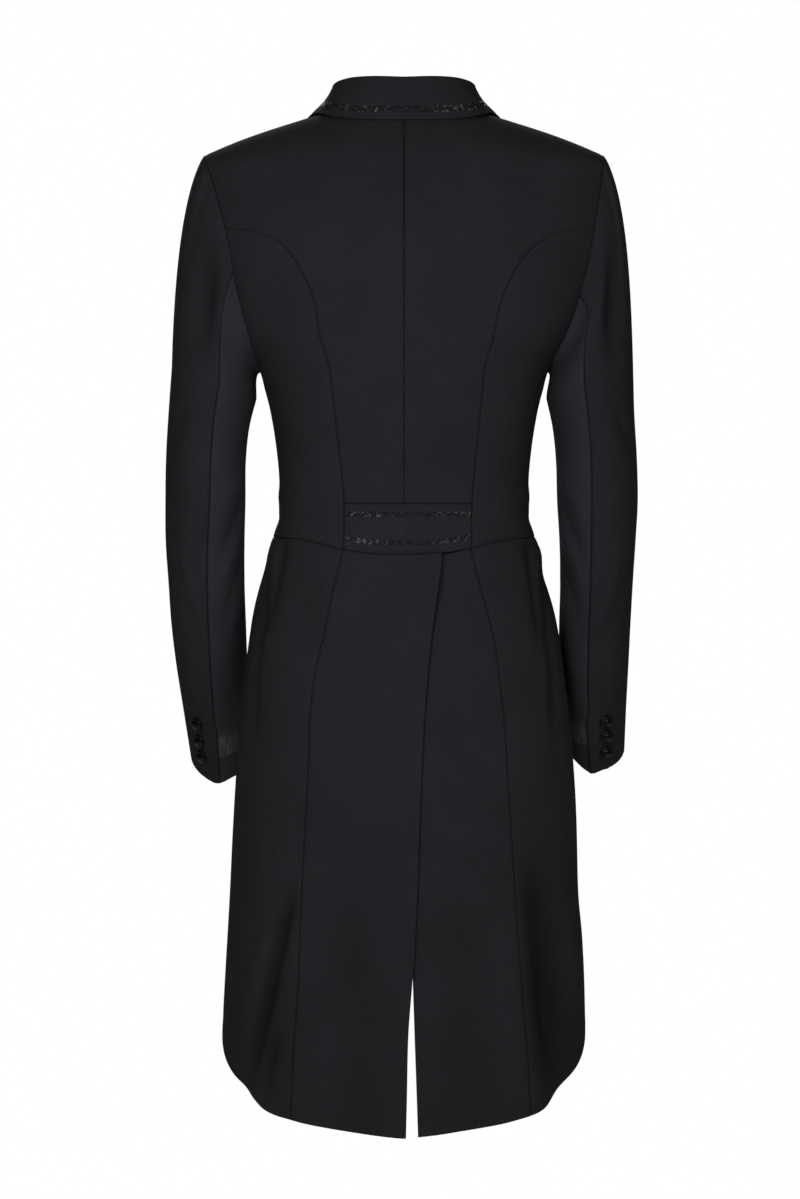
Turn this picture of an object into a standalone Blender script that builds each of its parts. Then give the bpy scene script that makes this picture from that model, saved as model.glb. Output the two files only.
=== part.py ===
"""A women's dressage tailcoat, filled out as when worn but empty, each cut piece its own wall of cloth.

Metres, +Z up. The wearer faces -Y, so +Y is the back and +X the wearer's left. The origin lies between the
side neck points, where the shoulders carry the coat. Heights are written as the distance down from there.
"""

import bmesh
import bpy
import numpy as np
from mathutils import Vector

MM = 0.001
LEFT, RIGHT = 1, -1
SIDE_NAMES = {LEFT: "left", RIGHT: "right"}

# Walls, seams and laps
CLOTH = 1.6 * MM
BAND_CLOTH = 0.9 * MM
SEAM_EASE = 0.15 * MM
SLEEVE_EASE = 0.3 * MM
ARMHOLE_EASE = 1.6 * MM
LAP = 1.2 * MM
VENT_LAP = {LEFT: (10 * MM, 40 * MM), RIGHT: (-45 * MM, -75 * MM)}
FRONT_LAP = (18 * MM, 45 * MM)
BAND_LIFT = 1.6 * MM
LAPEL_LIFT = 2.5 * MM
LAPEL_SPRING = 0.6 * MM
COLLAR_LIFT = 3.0 * MM

# Heights down from the side neck point
SHOULDER = 42 * MM
SEAM_MEETS_ARMHOLE = 114 * MM
FRONT_SEAM_MEETS_ARMHOLE = 170 * MM
UNDERARM = 254 * MM
TAB_WAIST = 428.5 * MM
SLEEVE_TOP = 265 * MM
HEM_OF_SLEEVE = {LEFT: 638 * MM, RIGHT: 627 * MM}
LAPEL_TOP = 67 * MM
LAPEL_END = 288 * MM

# Buttons
CUFF_BUTTON = 14.5 * MM
FRONT_BUTTON = 20 * MM
BUTTON_DOME = 0.33
BUTTON_STANDOFF = 0.4 * MM
BUTTON_OUTLINE = [(0, 1), (0.42, 0.93), (0.78, 0.68), (1, 0.3), (0.94, 0.06), (0, 0)]
BUTTON_SIDES = 12

# Cells of cloth: the segments along each edge that two pieces share
SHOULDER_CELLS = 4
UPPER_ARMHOLE_CELLS = 5
LOWER_ARMHOLE_CELLS = 9
SIDE_SEAM_CELLS = 11
TAB_CELLS = 3
FRONT_LOWER_ARMHOLE_CELLS = 5
FRONT_UPPER_ARMHOLE_CELLS = 7
TAIL_CELLS = 16
CAP_CELLS = 5
ARM_CELLS = 11
BAND_CELLS = 2
COLLAR_CELLS = 14
LAPEL_CELLS = 8


def table(names, rows):
    """A short table as named columns, its millimetres turned to metres."""
    return dict(zip(names.split(), (np.array(rows, float) * MM).T))


def angle_table(names, rows):
    """A table whose first column is millimetres and whose others are degrees."""
    values = np.array(rows, float)
    values[:, 0] *= MM
    values[:, 1:] = np.radians(values[:, 1:])
    return dict(zip(names.split(), values.T))


def rim_table(names, rows):
    """A table whose first column is degrees round the form and whose others are millimetres."""
    values = np.array(rows, float)
    values[:, 0] = np.radians(values[:, 0])
    values[:, 1:] *= MM
    return dict(zip(names.split(), values.T))


# The form that the coat keeps: level rings, with their depth behind and before the side line
FORM = table("down half_width back front", [
    (-12, 70, 52, 40),
    (0, 79, 58, 50),
    (5, 96, 60, 55),
    (9, 109, 63, 58),
    (22.5, 150, 72, 67),
    (37, 186, 80, 77),
    (42, 197, 82, 80),
    (67, 203, 91, 95),
    (90, 203, 98, 106),
    (114, 201, 103, 115),
    (145, 195, 106, 124),
    (162, 190, 106, 127),
    (190, 179, 105.5, 128),
    (220, 164, 103, 124),
    (240, 149, 100.5, 118),
    (254, 141, 99, 114),
    (272, 136, 96, 109),
    (287, 132, 93, 105),
    (302, 129, 90, 102),
    (332, 124.5, 83.5, 96),
    (361, 122, 79, 92),
    (390, 122.5, 79, 91),
    (420, 129, 84, 93),
    (449, 138, 92, 96),
    (478, 144, 102, 100),
    (522, 150.5, 113, 105),
    (600, 159, 119, 108),
    (684, 166.5, 120, 108),
    (772, 171, 119, 106),
    (890, 177.5, 117, 104),
    (1010, 181, 115, 102)])

# How square each ring is: 2 is an ellipse
SQUARENESS = {"down": np.array([0, 42, 150, 254, 361, 450, 1010]) * MM,
              "power": np.array([2.0, 2.05, 2.15, 2.25, 2.3, 2.35, 2.35])}

# Armholes, as the distance out from the middle of the back or of the front
BACK_ARMHOLE = table("down left right", [
    (42, 197, 197),
    (67, 188, 194),
    (90, 181.5, 190.5),
    (114, 175, 186.5),
    (145, 168.6, 181),
    (162, 166, 176.5),
    (190, 159.5, 169),
    (220, 151, 157),
    (240, 145, 146.5),
    (254, 141, 141)])
FRONT_ARMHOLE = table("down both", [
    (42, 197),
    (67, 182),
    (90, 173),
    (114, 166),
    (145, 160),
    (170, 156),
    (200, 151),
    (220, 147.5),
    (240, 143.5),
    (254, 141)])

# Curved back seams from the armhole to the tab, then the tab's sides down to the waist seam
CURVED_SEAM = {
    LEFT: table("out down", [(157, 115.5), (135, 121), (120.5, 129), (109, 142), (100, 158), (92, 174), (88, 186),
                             (80.4, 227), (66, 310), (58.8, 384)]),
    RIGHT: table("out down", [(160, 116.5), (140, 123), (128.4, 131), (114, 147), (102, 168), (91.5, 200),
                              (83.3, 235), (72.5, 318), (66.6, 384)])}
# Where the rows of the centre back meet its middle seam, by the cell they start from on the outer edges
MIDDLE_ROWS = {"cell": np.array([0, 9, 11, 26]), "down": np.array([3, 108, 134, 384]) * MM}
TAB_SIDE = {LEFT: 59.2 * MM, RIGHT: 66.4 * MM}

# Front curved seam, as the angle round the form
FRONT_SEAM = angle_table("down angle", [(200, 133), (240, 140), (300, 146), (361, 148), (438, 148)])

# Waist seam and hem, as the angle from the middle of the back
WAIST_SEAM = rim_table("angle down", [
    (0, 433.6), (10, 433), (24, 428.5), (34, 424), (52, 418.5), (70, 417), (92, 417), (120, 422),
    (148, 438), (165, 462), (180, 478), (190, 480)])
HEM = rim_table("angle down", [
    (0, 1003), (7, 1000), (15, 996), (21, 993), (30, 988.3), (35, 985), (41, 981), (47.5, 974.5),
    (56.6, 956.8), (69.4, 938), (79.7, 920.7), (90, 898), (97, 868), (106, 815)])
TAIL_FRONT_EDGE = angle_table("down angle", [(410, 104), (480, 102), (560, 99), (700, 97), (1010, 97)])

# Tail seams and the two edges of the vent, out from the middle of the back
TAIL_SEAM = table("down left right", [
    (430, 59.6, 65.7),
    (474, 70.8, 76.8),
    (506, 77.3, 85.5),
    (557, 88.1, 93.4),
    (597, 92, 98),
    (644, 93.6, 100.9),
    (692, 96, 103.8),
    (789, 101, 110.7),
    (854, 102.4, 114.3),
    (910, 106.8, 118.8),
    (1005, 112, 125)])
VENT_EDGE = table("down left right", [
    (430, -37.2, -6),
    (450, -35.3, -5.3),
    (493, -29.4, -3.9),
    (517, -26.5, -3),
    (857, -7.8, 8.7),
    (893, -4.9, 9.9),
    (968, -2.9, 12.5),
    (1005, -2, 13.7)])

# Front edge: the roll line down to the top button, then the lapped edge past the middle
FRONT_EDGE = table("out down", [
    (77.5, 0.6), (72, 14), (66.5, 42), (61, 62), (52, 100), (39.5, 150), (27, 200), (14, 250), (1.5, 300),
    (-9, 316), (-14, 335), (-15, 370), (-15, 420), (-15, 479)])
ROLL_LINE = table("down out", [(42, 66.5), (62, 61), (100, 52), (150, 39.5), (200, 27), (250, 14), (300, 1.5)])
LAPEL_EDGE = table("down out", [(62, 134), (90, 128), (130, 104), (180, 76), (240, 42), (288, 14)])

# Collar: height of its stand, how far that leans in, and where its fall ends on the coat
COLLAR_STAND = {"share": np.array([0, 0.2, 0.3, 0.4, 0.5, 0.7, 0.85, 1]),
                "height": np.array([34.6, 34.6, 33.2, 30, 26.6, 25, 21, 15]) * MM,
                "lean": np.array([5, 7, 8, 9, 10, 11, 8, 2]) * MM,
                "inset": np.array([1, 1, 1, 1, 1.2, 1.8, 3.6, 4.2]) * MM,
                "spring": np.array([2, 1.2, 0.5, -0.3, -1, 0, 1.5, 2]) * MM}
COLLAR_FOLD = 3.4 * MM
COLLAR_CROWN = 1.2 * MM
COLLAR_DROP = 0.1
COLLAR_SIDEWAYS = (0.8, 0.55)
STAND_EASE = 0.9 * MM
NECKLINE_BACK = rim_table("angle down", [(0, 3), (30, 2), (60, 1), (90, 0)])
COLLAR_EDGE_BACK = rim_table("angle down", [(0, 10), (30, 8.5), (60, 3.8), (90, 2.2)])
COLLAR_EDGE_FRONT = table("out down", [(101, 14), (109, 28), (118, 45), (126, 58)])

# Sleeves: each row is a section across the arm
SLEEVE = table("down left_outer left_inner right_outer right_inner middle half_depth inner_drop", [
    (265, 228, 146, 225, 141, -2, 52, 30),
    (300, 231, 153, 226, 147, 0, 51, 16),
    (340, 233.5, 156.5, 228.5, 150.5, 2, 50, 6),
    (380, 234.2, 156.8, 229.5, 151.5, 1, 50, 0),
    (420, 234, 157.8, 227.4, 153.9, -4, 49, 0),
    (460, 231.5, 158, 225, 154.8, -14, 48, 0),
    (500, 229, 156.8, 223, 154, -27, 47, 0),
    (540, 224.5, 155.5, 221.3, 153.5, -41, 46, 0),
    (580, 218.5, 152.5, 219.5, 153, -57, 45, 0),
    (640, 209.5, 148, 217.5, 155, -80, 44, 0)])
SLEEVE_PITCH = angle_table("down angle", [
    (265, 0), (300, 0), (340, 2), (380, 6), (420, 11), (460, 16), (500, 19), (540, 21), (580, 22), (640, 22)])

# Sleeve seams: the angle round the arm from its outer side, by the share of the way to the hem
SLEEVE_SEAM_ROWS = np.array([-1, -0.5, 0, 0.25, 0.5, 0.75, 1])
BACK_SEAM = {LEFT: np.radians([95.5, 96.5, 98, 98, 93, 90, 81]),
             RIGHT: np.radians([107.6, 102, 98, 99, 101.5, 101, 92])}
FRONT_SEAM_ROUND = np.radians([258, 268, 275, 282, 288, 290, 290])
BACK_SEAM_CELL = {LEFT: 2, RIGHT: 3}

# How the cap leaves the armhole and comes into the arm, at the top, back, underarm and front
CAP_START = np.array([(22, 0, -38), (15, 4, -26), (7, 0, 1), (15, -4, -26)]) * MM
CAP_END = np.array([(-2, 0, 80), (-2, 5, 45), (0, 0, 12), (-2, -5, 45)]) * MM

# Cuffs: how far round and down each button sits, and the ribbed band's rows
CUFF_BUTTONS = {LEFT: (55.0, (0.863, 0.908, 0.950)), RIGHT: (67.5, (0.877, 0.916, 0.960))}
BAND_ROWS = (0.868, 0.950)
BAND_MARGIN = 2 * MM
BAND_SLANT = 0.03
BAND_SLANT_TURNS = np.radians([160, 75])
FRONT_BUTTONS = np.array([330, 376, 422]) * MM

# How much lower than a level hem each cuff ends, by the degrees round the arm
CUFF_HEM = {LEFT: rim_table("turn drop", [(-70, -3), (0, -5), (81, 3), (119, -2), (180, -4), (290, -3)]),
            RIGHT: rim_table("turn drop", [(-70, -4), (0, -2), (70, 3), (95, 3), (136, -8), (180, -10), (290, -4)])}
CUFF_POINT = 2.5 * MM
CUFF_POINT_WIDTH = np.radians(16)

# Large folds in the tails: a line from top to foot, its half width and its depth, out positive
TAIL_FOLDS = table("top_x top_down foot_x foot_down half_width depth", [
    (112, 772, 156, 960, 11, -4.5),
    (128, 800, 166, 930, 13, 2.5),
    (118, 850, 136, 985, 10, -2.5),
    (55, 760, 40, 1005, 24, -3.0),
    (-127, 760, -152, 960, 15, -4.0),
    (-108, 820, -118, 1005, 14, 2.5),
    (-60, 740, -62, 1005, 24, -3.0),
    (117, 424, 136, 505, 7, -2.2),
    (-121, 424, -137, 520, 7, -2.2),
    (124, 424, 150, 560, 8, 2.2),
    (-127, 424, -155, 560, 8, 2.2)])
FOLD_EASE = 60 * MM
TAIL_GUESS = 600 * MM
TAIL_PASSES = 8

# Drag folds at the elbow: a line round the arm in degrees and down it, its half width and its depth
ELBOW_FOLDS = np.array([
    (165, 345, 105, 395, 9, 2.0),
    (172, 372, 112, 424, 9, -2.2),
    (178, 396, 108, 452, 10, 2.4),
    (182, 424, 115, 480, 10, -2.2),
    (186, 450, 120, 505, 10, 1.8)])
ELBOW_ENDS = (0.3, -0.1)


def smooth(x, xs, ys):
    """A smooth curve through the points xs, ys: a cubic in each cell, with the slopes of its neighbours."""
    slopes = np.gradient(ys, xs)
    x = np.clip(x, xs[0], xs[-1])
    cell = np.clip(np.searchsorted(xs, x, side="right") - 1, 0, len(xs) - 2)
    width = xs[cell + 1] - xs[cell]
    t = (x - xs[cell]) / width
    start = ys[cell] * (1 + 2 * t) * (1 - t) ** 2 + width * slopes[cell] * t * (1 - t) ** 2
    finish = ys[cell + 1] * t * t * (3 - 2 * t) + width * slopes[cell + 1] * t * t * (t - 1)
    return start + finish


def read(rows, name, place, key="down"):
    """One named column of a table at a place down the coat."""
    return smooth(place, rows[key], rows[name])


def fade(x, full, none):
    """1 at full, 0 at none, with a soft ease between."""
    t = np.clip((x - none) / (full - none), 0, 1)
    return t * t * (3 - 2 * t)


def bell(x, half_width):
    """A soft bump: 1 at nought, falling as the square's exponential, to about a third at half_width."""
    return np.exp(-(x / half_width) ** 2)


def form(theta, down):
    """The form's surface: superellipse rings, theta 0 at the middle of the back, 90 degrees at the left."""
    power = 2 / read(SQUARENESS, "power", down)
    sine, cosine = np.sin(theta), np.cos(theta)
    depth = np.where(cosine > 0, read(FORM, "back", down), read(FORM, "front", down))
    x = read(FORM, "half_width", down) * np.sign(sine) * np.abs(sine) ** power
    y = depth * np.sign(cosine) * np.abs(cosine) ** power
    return np.stack([x, y, -down + 0 * x], axis=-1)


def back_angle(out, down):
    """The angle at which the back of the form stands out from the middle by out."""
    share = np.clip(np.abs(out) / read(FORM, "half_width", down), 0, 1)
    return np.sign(out) * np.arcsin(share ** (read(SQUARENESS, "power", down) / 2))


def front_angle(out, down):
    """The same on the front of the form."""
    return np.pi - back_angle(out, down)


def unit(vectors):
    """Vectors of length 1."""
    return vectors / np.maximum(np.linalg.norm(vectors, axis=-1, keepdims=True), 1e-12)


def outward(surface, first, second, steps):
    """The unit normal of surface(first, second), from the cross product of its two slopes."""
    across = surface(first + steps[0], second) - surface(first - steps[0], second)
    along = surface(first, second + steps[1]) - surface(first, second - steps[1])
    return unit(np.cross(across, along))


def on_form(side, theta, down, lift):
    """Points of the form on one side, moved out along its normal by lift."""
    normal = outward(form, side * theta, down, (1e-3, 0.5 * MM))
    points = form(side * theta, down)
    normal *= np.where((normal[..., :2] * points[..., :2]).sum(-1) < 0, -1, 1)[..., None]
    return points + normal * np.broadcast_to(lift, down.shape)[..., None]


def evenly(theta, down, cells):
    """A curve through the points theta, down on the form, cut into equal lengths."""
    steps = np.linalg.norm(np.diff(form(theta, down), axis=0), axis=1)
    length = np.concatenate([[0], np.cumsum(steps)])
    stations = np.linspace(0, length[-1], cells + 1)
    return np.stack([smooth(stations, length, theta), smooth(stations, length, down)], axis=-1)


def joined(*edges):
    """Edges end to end, each shared point kept once."""
    return np.concatenate([edges[0]] + [edge[1:] for edge in edges[1:]])


def between(inner, outer, cells):
    """Rows of cloth from an inner edge to an outer one, straight in angle and height."""
    share = np.linspace(0, 1, cells + 1)[None, :, None]
    return inner[:, None] * (1 - share) + outer[:, None] * share


def to_waist(rows, ease=2):
    """The rows with their last one laid on the waist seam, and the others eased towards it."""
    share = np.linspace(0, 1, len(rows))[:, None] ** ease
    rows = rows.copy()
    miss = smooth(np.abs(rows[-1, :, 0]), WAIST_SEAM["angle"], WAIST_SEAM["down"]) - rows[-1, :, 1]
    rows[..., 1] += share * miss
    return rows


def blunt(edge):
    """An edge whose first point is drawn a little way in from a sharp corner."""
    edge = edge.copy()
    edge[0] = edge[0] * 0.85 + edge[1] * 0.15
    return edge


def drawn_in(points, ease):
    """The grid of points with its four edges moved in by ease (top, foot, first and last), square to them."""
    points = points.copy()
    for edge, inside, distance in ((points[0], points[1], ease[0]), (points[-1], points[-2], ease[1]),
                                   (points[:, 0], points[:, 1], ease[2]), (points[:, -1], points[:, -2], ease[3])):
        run = unit(np.gradient(edge, axis=0))
        inward = inside - edge
        inward = unit(inward - (inward * run).sum(-1, keepdims=True) * run)
        edge += inward * distance
    return points


def cloth(name, points, material, thickness=CLOTH, ease=(SEAM_EASE,) * 4):
    """A grid of cloth, its vertices laid on points, with a wall grown evenly to both sides."""
    points = drawn_in(points, ease)
    rows, columns = points.shape[:2]
    work = bmesh.new()
    bmesh.ops.create_grid(work, x_segments=columns - 1, y_segments=rows - 1, size=0.5)
    for vertex in work.verts:
        column = round((vertex.co.x + 0.5) * (columns - 1))
        row = round((vertex.co.y + 0.5) * (rows - 1))
        vertex.co = points[row, column]
    mesh = bpy.data.meshes.new(name)
    work.to_mesh(mesh)
    work.free()
    mesh.shade_smooth()
    mesh.materials.append(material)
    wall = add_object(name, mesh)
    solidify = wall.modifiers.new("wall", "SOLIDIFY")
    solidify.thickness = thickness
    solidify.offset = 0
    return wall


def add_object(name, mesh):
    """An object in the coat's collection."""
    thing = bpy.data.objects.new(name, mesh)
    bpy.data.collections["dressage_tailcoat"].objects.link(thing)
    return thing


def make_material(name, colour, roughness, coat=0.0):
    """A plain surface finish."""
    material = bpy.data.materials.new(name)
    material.use_nodes = True
    shader = material.node_tree.nodes["Principled BSDF"]
    shader.inputs["Base Color"].default_value = (*colour, 1)
    shader.inputs["Roughness"].default_value = roughness
    shader.inputs["Coat Weight"].default_value = coat
    material.diffuse_color = (*colour, 1)
    return material


def armhole_height(phi):
    """How far down the armhole is at the angle phi round it, from the shoulder point (0) to the underarm."""
    return SHOULDER + (UNDERARM - SHOULDER) * (1 - np.cos(phi)) / 2


def armhole_turn(down):
    """The angle round the armhole at a height."""
    return np.arccos(1 - 2 * (down - SHOULDER) / (UNDERARM - SHOULDER))


def armhole(phi, side):
    """Angle round the form and height of the armhole, the back for phi under 180 degrees, else the front."""
    down = armhole_height(phi)
    behind = back_angle(read(BACK_ARMHOLE, SIDE_NAMES[side], down), down)
    before = front_angle(read(FRONT_ARMHOLE, "both", down), down)
    return np.stack([np.where(np.sin(phi) >= -1e-9, behind, before), down], axis=-1)


BACK_TURN = armhole_turn(SEAM_MEETS_ARMHOLE)
FRONT_TURN = 2 * np.pi - armhole_turn(FRONT_SEAM_MEETS_ARMHOLE)
UPPER_BACK = np.linspace(0, BACK_TURN, UPPER_ARMHOLE_CELLS + 1)
LOWER_BACK = np.linspace(BACK_TURN, np.pi, LOWER_ARMHOLE_CELLS + 1)
LOWER_FRONT = np.linspace(np.pi, FRONT_TURN, FRONT_LOWER_ARMHOLE_CELLS + 1)
UPPER_FRONT = np.linspace(FRONT_TURN, 2 * np.pi, FRONT_UPPER_ARMHOLE_CELLS + 1)


def shoulder_edge():
    """The shoulder seam, along the ridge of the form from the neck to the shoulder point."""
    down = np.array([0, 5, 9, 22.5, 37, 42]) * MM
    return evenly(np.full(len(down), np.pi / 2), down, SHOULDER_CELLS)


def curved_seam(side):
    """The curved back seam from the armhole to the top of the tab."""
    start = armhole(BACK_TURN, side)
    seam = CURVED_SEAM[side]
    theta = np.concatenate([[start[0]], back_angle(seam["out"], seam["down"])])
    down = np.concatenate([[start[1]], seam["down"]])
    return evenly(theta, down, LOWER_ARMHOLE_CELLS + SIDE_SEAM_CELLS - TAB_CELLS)


def tab_side(side):
    """The side of the tab, from its top to the waist seam."""
    top = curved_seam(side)[-1]
    theta = back_angle(TAB_SIDE[side], TAB_WAIST)
    foot = smooth(theta, WAIST_SEAM["angle"], WAIST_SEAM["down"])
    share = np.linspace(0, 1, TAB_CELLS + 1)[:, None]
    return top * (1 - share) + np.array([theta, foot]) * share


def side_seam():
    """From the underarm straight down to the waist seam."""
    foot = np.array([np.radians(92), np.interp(np.radians(92), WAIST_SEAM["angle"], WAIST_SEAM["down"])])
    share = np.linspace(0, 1, SIDE_SEAM_CELLS + 1)[:, None]
    return np.array([np.pi / 2, UNDERARM]) * (1 - share) + foot * share


def front_seam(side):
    """The curved front seam from the armhole to the waist."""
    start = armhole(FRONT_TURN, side)
    theta = np.concatenate([[start[0]], FRONT_SEAM["angle"]])
    down = np.concatenate([[start[1]], FRONT_SEAM["down"]])
    return evenly(theta, down, FRONT_LOWER_ARMHOLE_CELLS + SIDE_SEAM_CELLS)


def front_lift(side, x):
    """The right front laps over the left one along the middle."""
    return -side * LAP * fade(side * x, *FRONT_LAP)


def make_backs(side, material):
    """Centre back and side back of one side."""
    name = SIDE_NAMES[side]
    seam = curved_seam(side)
    outer = joined(shoulder_edge(), armhole(UPPER_BACK, side), seam)
    down = np.interp(np.arange(len(outer)), MIDDLE_ROWS["cell"], MIDDLE_ROWS["down"])
    rows = between(np.stack([0 * down, down], axis=-1), outer, 7)
    cloth(f"back_centre_{name}", on_form(side, rows[..., 0], rows[..., 1], 0), material)
    inner = blunt(joined(seam, tab_side(side)))
    outer = blunt(joined(armhole(LOWER_BACK, side), side_seam()))
    rows = to_waist(between(inner, outer, 6))
    cloth(f"back_side_{name}", on_form(side, rows[..., 0], rows[..., 1], 0), material)


def make_tab(material):
    """The waist tab, let in between the two curved seams."""
    rows = to_waist(between(tab_side(RIGHT) * (-1, 1), tab_side(LEFT), 12), 1)
    cloth("waist_tab", on_form(LEFT, rows[..., 0], rows[..., 1], 0), material)


def make_fronts(side, material):
    """Side front and front of one side, down to the waist's point."""
    name = SIDE_NAMES[side]
    seam = front_seam(side)
    inner = blunt(seam)
    outer = blunt(joined(armhole(LOWER_FRONT, side)[::-1], side_seam()))
    rows = to_waist(between(inner, outer, 5))
    cloth(f"front_side_{name}", on_form(side, rows[..., 0], rows[..., 1], 0), material)
    upper = armhole(UPPER_FRONT, side)[::-1]
    outer = blunt(joined(shoulder_edge(), upper, seam))
    theta = np.concatenate([[np.pi / 2], front_angle(FRONT_EDGE["out"], FRONT_EDGE["down"])])
    down = np.concatenate([[0], FRONT_EDGE["down"]])
    inner = blunt(evenly(theta, down, len(outer) - 1))
    rows = to_waist(between(outer, inner, 7))
    x = form(rows[..., 0], rows[..., 1])[..., 0] * side
    cloth(f"front_{name}", on_form(side, rows[..., 0], rows[..., 1], front_lift(side, x)), material)


def make_lapel(side, material):
    """A lapel, laid out from the roll line over the front."""
    down = np.linspace(LAPEL_TOP, LAPEL_END, LAPEL_CELLS + 1)[:, None]
    share = np.linspace(0, 1, 5)[None, :]
    out = read(ROLL_LINE, "out", down) * (1 - share) + read(LAPEL_EDGE, "out", down) * share
    down = down + 0 * share
    lift = LAPEL_LIFT + LAPEL_SPRING * np.sin(np.pi * share * 0.75) + front_lift(side, side * out)
    points = on_form(side, front_angle(out, down), down, lift)
    cloth(f"lapel_{SIDE_NAMES[side]}", points, material)


def tail_lift(x, down, side):
    """The left tail laps over the right one at the vent, and both carry their large folds."""
    relief = side * LAP * fade(x, *VENT_LAP[side])
    for top_x, top, foot_x, foot, half_width, depth in zip(*TAIL_FOLDS.values()):
        share = (down - top) / (foot - top)
        centre = top_x + (foot_x - top_x) * share
        reach = fade(down, top + FOLD_EASE, top) * fade(down, foot - FOLD_EASE, foot + FOLD_EASE)
        relief = relief + depth * reach * bell(x - centre, half_width)
    return relief


def make_tail(name, first, last, cells, side, material):
    """A tail piece between two edges, given as angles by height, from the waist seam to the hem."""
    share = np.linspace(0, 1, cells + 1)[None, :]
    fall = np.linspace(0, 1, TAIL_CELLS + 1)[:, None]
    down = TAIL_GUESS + 0 * share * fall
    for _ in range(TAIL_PASSES):
        theta = first(down) * (1 - share) + last(down) * share
        top = smooth(np.abs(theta), WAIST_SEAM["angle"], WAIST_SEAM["down"])
        hem = smooth(np.abs(theta), HEM["angle"], HEM["down"])
        down = top + fall * (hem - top)
    x = form(theta, down)[..., 0]
    cloth(name, on_form(LEFT, theta, down, tail_lift(x, down, side)), material)


def make_tails(side, material):
    """The centre tail, from the vent to the seam, and the side tail, round to its free front edge."""
    name = SIDE_NAMES[side]

    def vent(down):
        return back_angle(side * read(VENT_EDGE, name, down), down)

    def seam(down):
        return back_angle(side * read(TAIL_SEAM, name, down), down)

    def edge(down):
        return side * read(TAIL_FRONT_EDGE, "angle", down)

    make_tail(f"tail_centre_{name}", vent, seam, 8, side, material)
    make_tail(f"tail_side_{name}", seam, edge, 12, side, material)


def arm_point(phi, fall, side):
    """The sleeve below the cap: an oval across the arm, pitched forward; phi 0 outside, 90 degrees behind."""
    down = SLEEVE_TOP + fall * (HEM_OF_SLEEVE[side] - SLEEVE_TOP)
    name = SIDE_NAMES[side]
    outer, inner = read(SLEEVE, f"{name}_outer", down), read(SLEEVE, f"{name}_inner", down)
    deep = read(SLEEVE, "half_depth", down) * np.sin(phi)
    pitch = read(SLEEVE_PITCH, "angle", down)
    x = (outer + inner) / 2 + (outer - inner) / 2 * np.cos(phi)
    y = read(SLEEVE, "middle", down) + deep * np.cos(pitch)
    z = read(SLEEVE, "inner_drop", down) / 2 * np.cos(phi) - down - deep * np.sin(pitch)
    return np.stack([side * x, y, z], axis=-1)


def by_quarter(phi, vectors, side):
    """A vector for each angle, mixed from those at the top, back, underarm and front."""
    cosine, sine = np.cos(phi)[..., None], np.sin(phi)[..., None]
    top, back, under, front = vectors * (side, 1, 1)
    return (np.maximum(cosine, 0) ** 2 * top + np.maximum(sine, 0) ** 2 * back
            + np.minimum(cosine, 0) ** 2 * under + np.minimum(sine, 0) ** 2 * front)


def sleeve_point(phi, fall, side):
    """The whole sleeve: fall -1 at the armhole, 0 below the cap, 1 at the hem; the cap is a cubic."""
    ring = armhole(phi, side)
    start = form(side * ring[..., 0], ring[..., 1])
    finish = arm_point(phi, 0 * phi, side)
    leave = start + by_quarter(phi, CAP_START, side)
    arrive = finish + by_quarter(phi, CAP_END, side)
    t = np.clip(fall + 1, 0, 1)[..., None]
    cap = ((1 - t) ** 3 * start + 3 * t * (1 - t) ** 2 * leave + 3 * t * t * (1 - t) * arrive + t ** 3 * finish)
    arm = arm_point(phi, np.maximum(fall, 0), side)
    return np.where((fall < 0)[..., None], cap, arm)


def elbow_relief(phi, fall, side):
    """Drag folds across the under sleeve at the elbow."""
    down = SLEEVE_TOP + fall * (HEM_OF_SLEEVE[side] - SLEEVE_TOP)
    relief = 0 * down
    for turn_a, down_a, turn_b, down_b, half_width, depth in ELBOW_FOLDS:
        share = (np.degrees(phi) - turn_a) / (turn_b - turn_a)
        line = (down_a + (down_b - down_a) * share) * MM
        reach = fade(share, *ELBOW_ENDS) * fade(1 - share, *ELBOW_ENDS)
        relief = relief + depth * MM * reach * bell(down - line, half_width * MM)
    return relief


def on_sleeve(phi, fall, side, lift):
    """Points of the sleeve, moved out from it by lift."""
    def surface(turn, row):
        return sleeve_point(turn, row, side)

    points = surface(phi, fall)
    middle = (surface(phi, fall) + surface(phi + np.pi, fall)) / 2
    normal = outward(surface, phi, fall, (5e-3, 4e-3))
    normal *= np.where((normal * (points - middle)).sum(-1) < 0, -1, 1)[..., None]
    return points + normal * (lift + elbow_relief(phi, fall, side))[..., None]


def sleeve_columns(side):
    """The turns round the armhole at which the top sleeve's and the under sleeve's columns start."""
    turns = joined(UPPER_BACK, LOWER_BACK, LOWER_FRONT, UPPER_FRONT)
    back = UPPER_ARMHOLE_CELLS + BACK_SEAM_CELL[side]
    front = UPPER_ARMHOLE_CELLS + LOWER_ARMHOLE_CELLS + FRONT_LOWER_ARMHOLE_CELLS
    return np.concatenate([turns[front:] - 2 * np.pi, turns[1:back + 1]]), turns[back:front + 1]


def sleeve_grid(columns, fall, start, finish):
    """Turns round the arm at each row, spread between two seams as the columns are spread at the armhole."""
    share = ((columns - columns[0]) / (columns[-1] - columns[0]))[None, :]
    phi = start[:, None] * (1 - share) + finish[:, None] * share
    return phi, fall[:, None] + 0 * phi


def to_cuff_hem(phi, fall, side):
    """The rows with the last one slid along the arm to the cuff's slanted hem, pointed at its vent."""
    point = CUFF_POINT * bell(phi - BACK_SEAM[side][-1], CUFF_POINT_WIDTH)
    drop = read(CUFF_HEM[side], "drop", phi, "turn") + point
    return fall + fade(fall, 1, BAND_ROWS[1]) * drop / (HEM_OF_SLEEVE[side] - SLEEVE_TOP)


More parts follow.
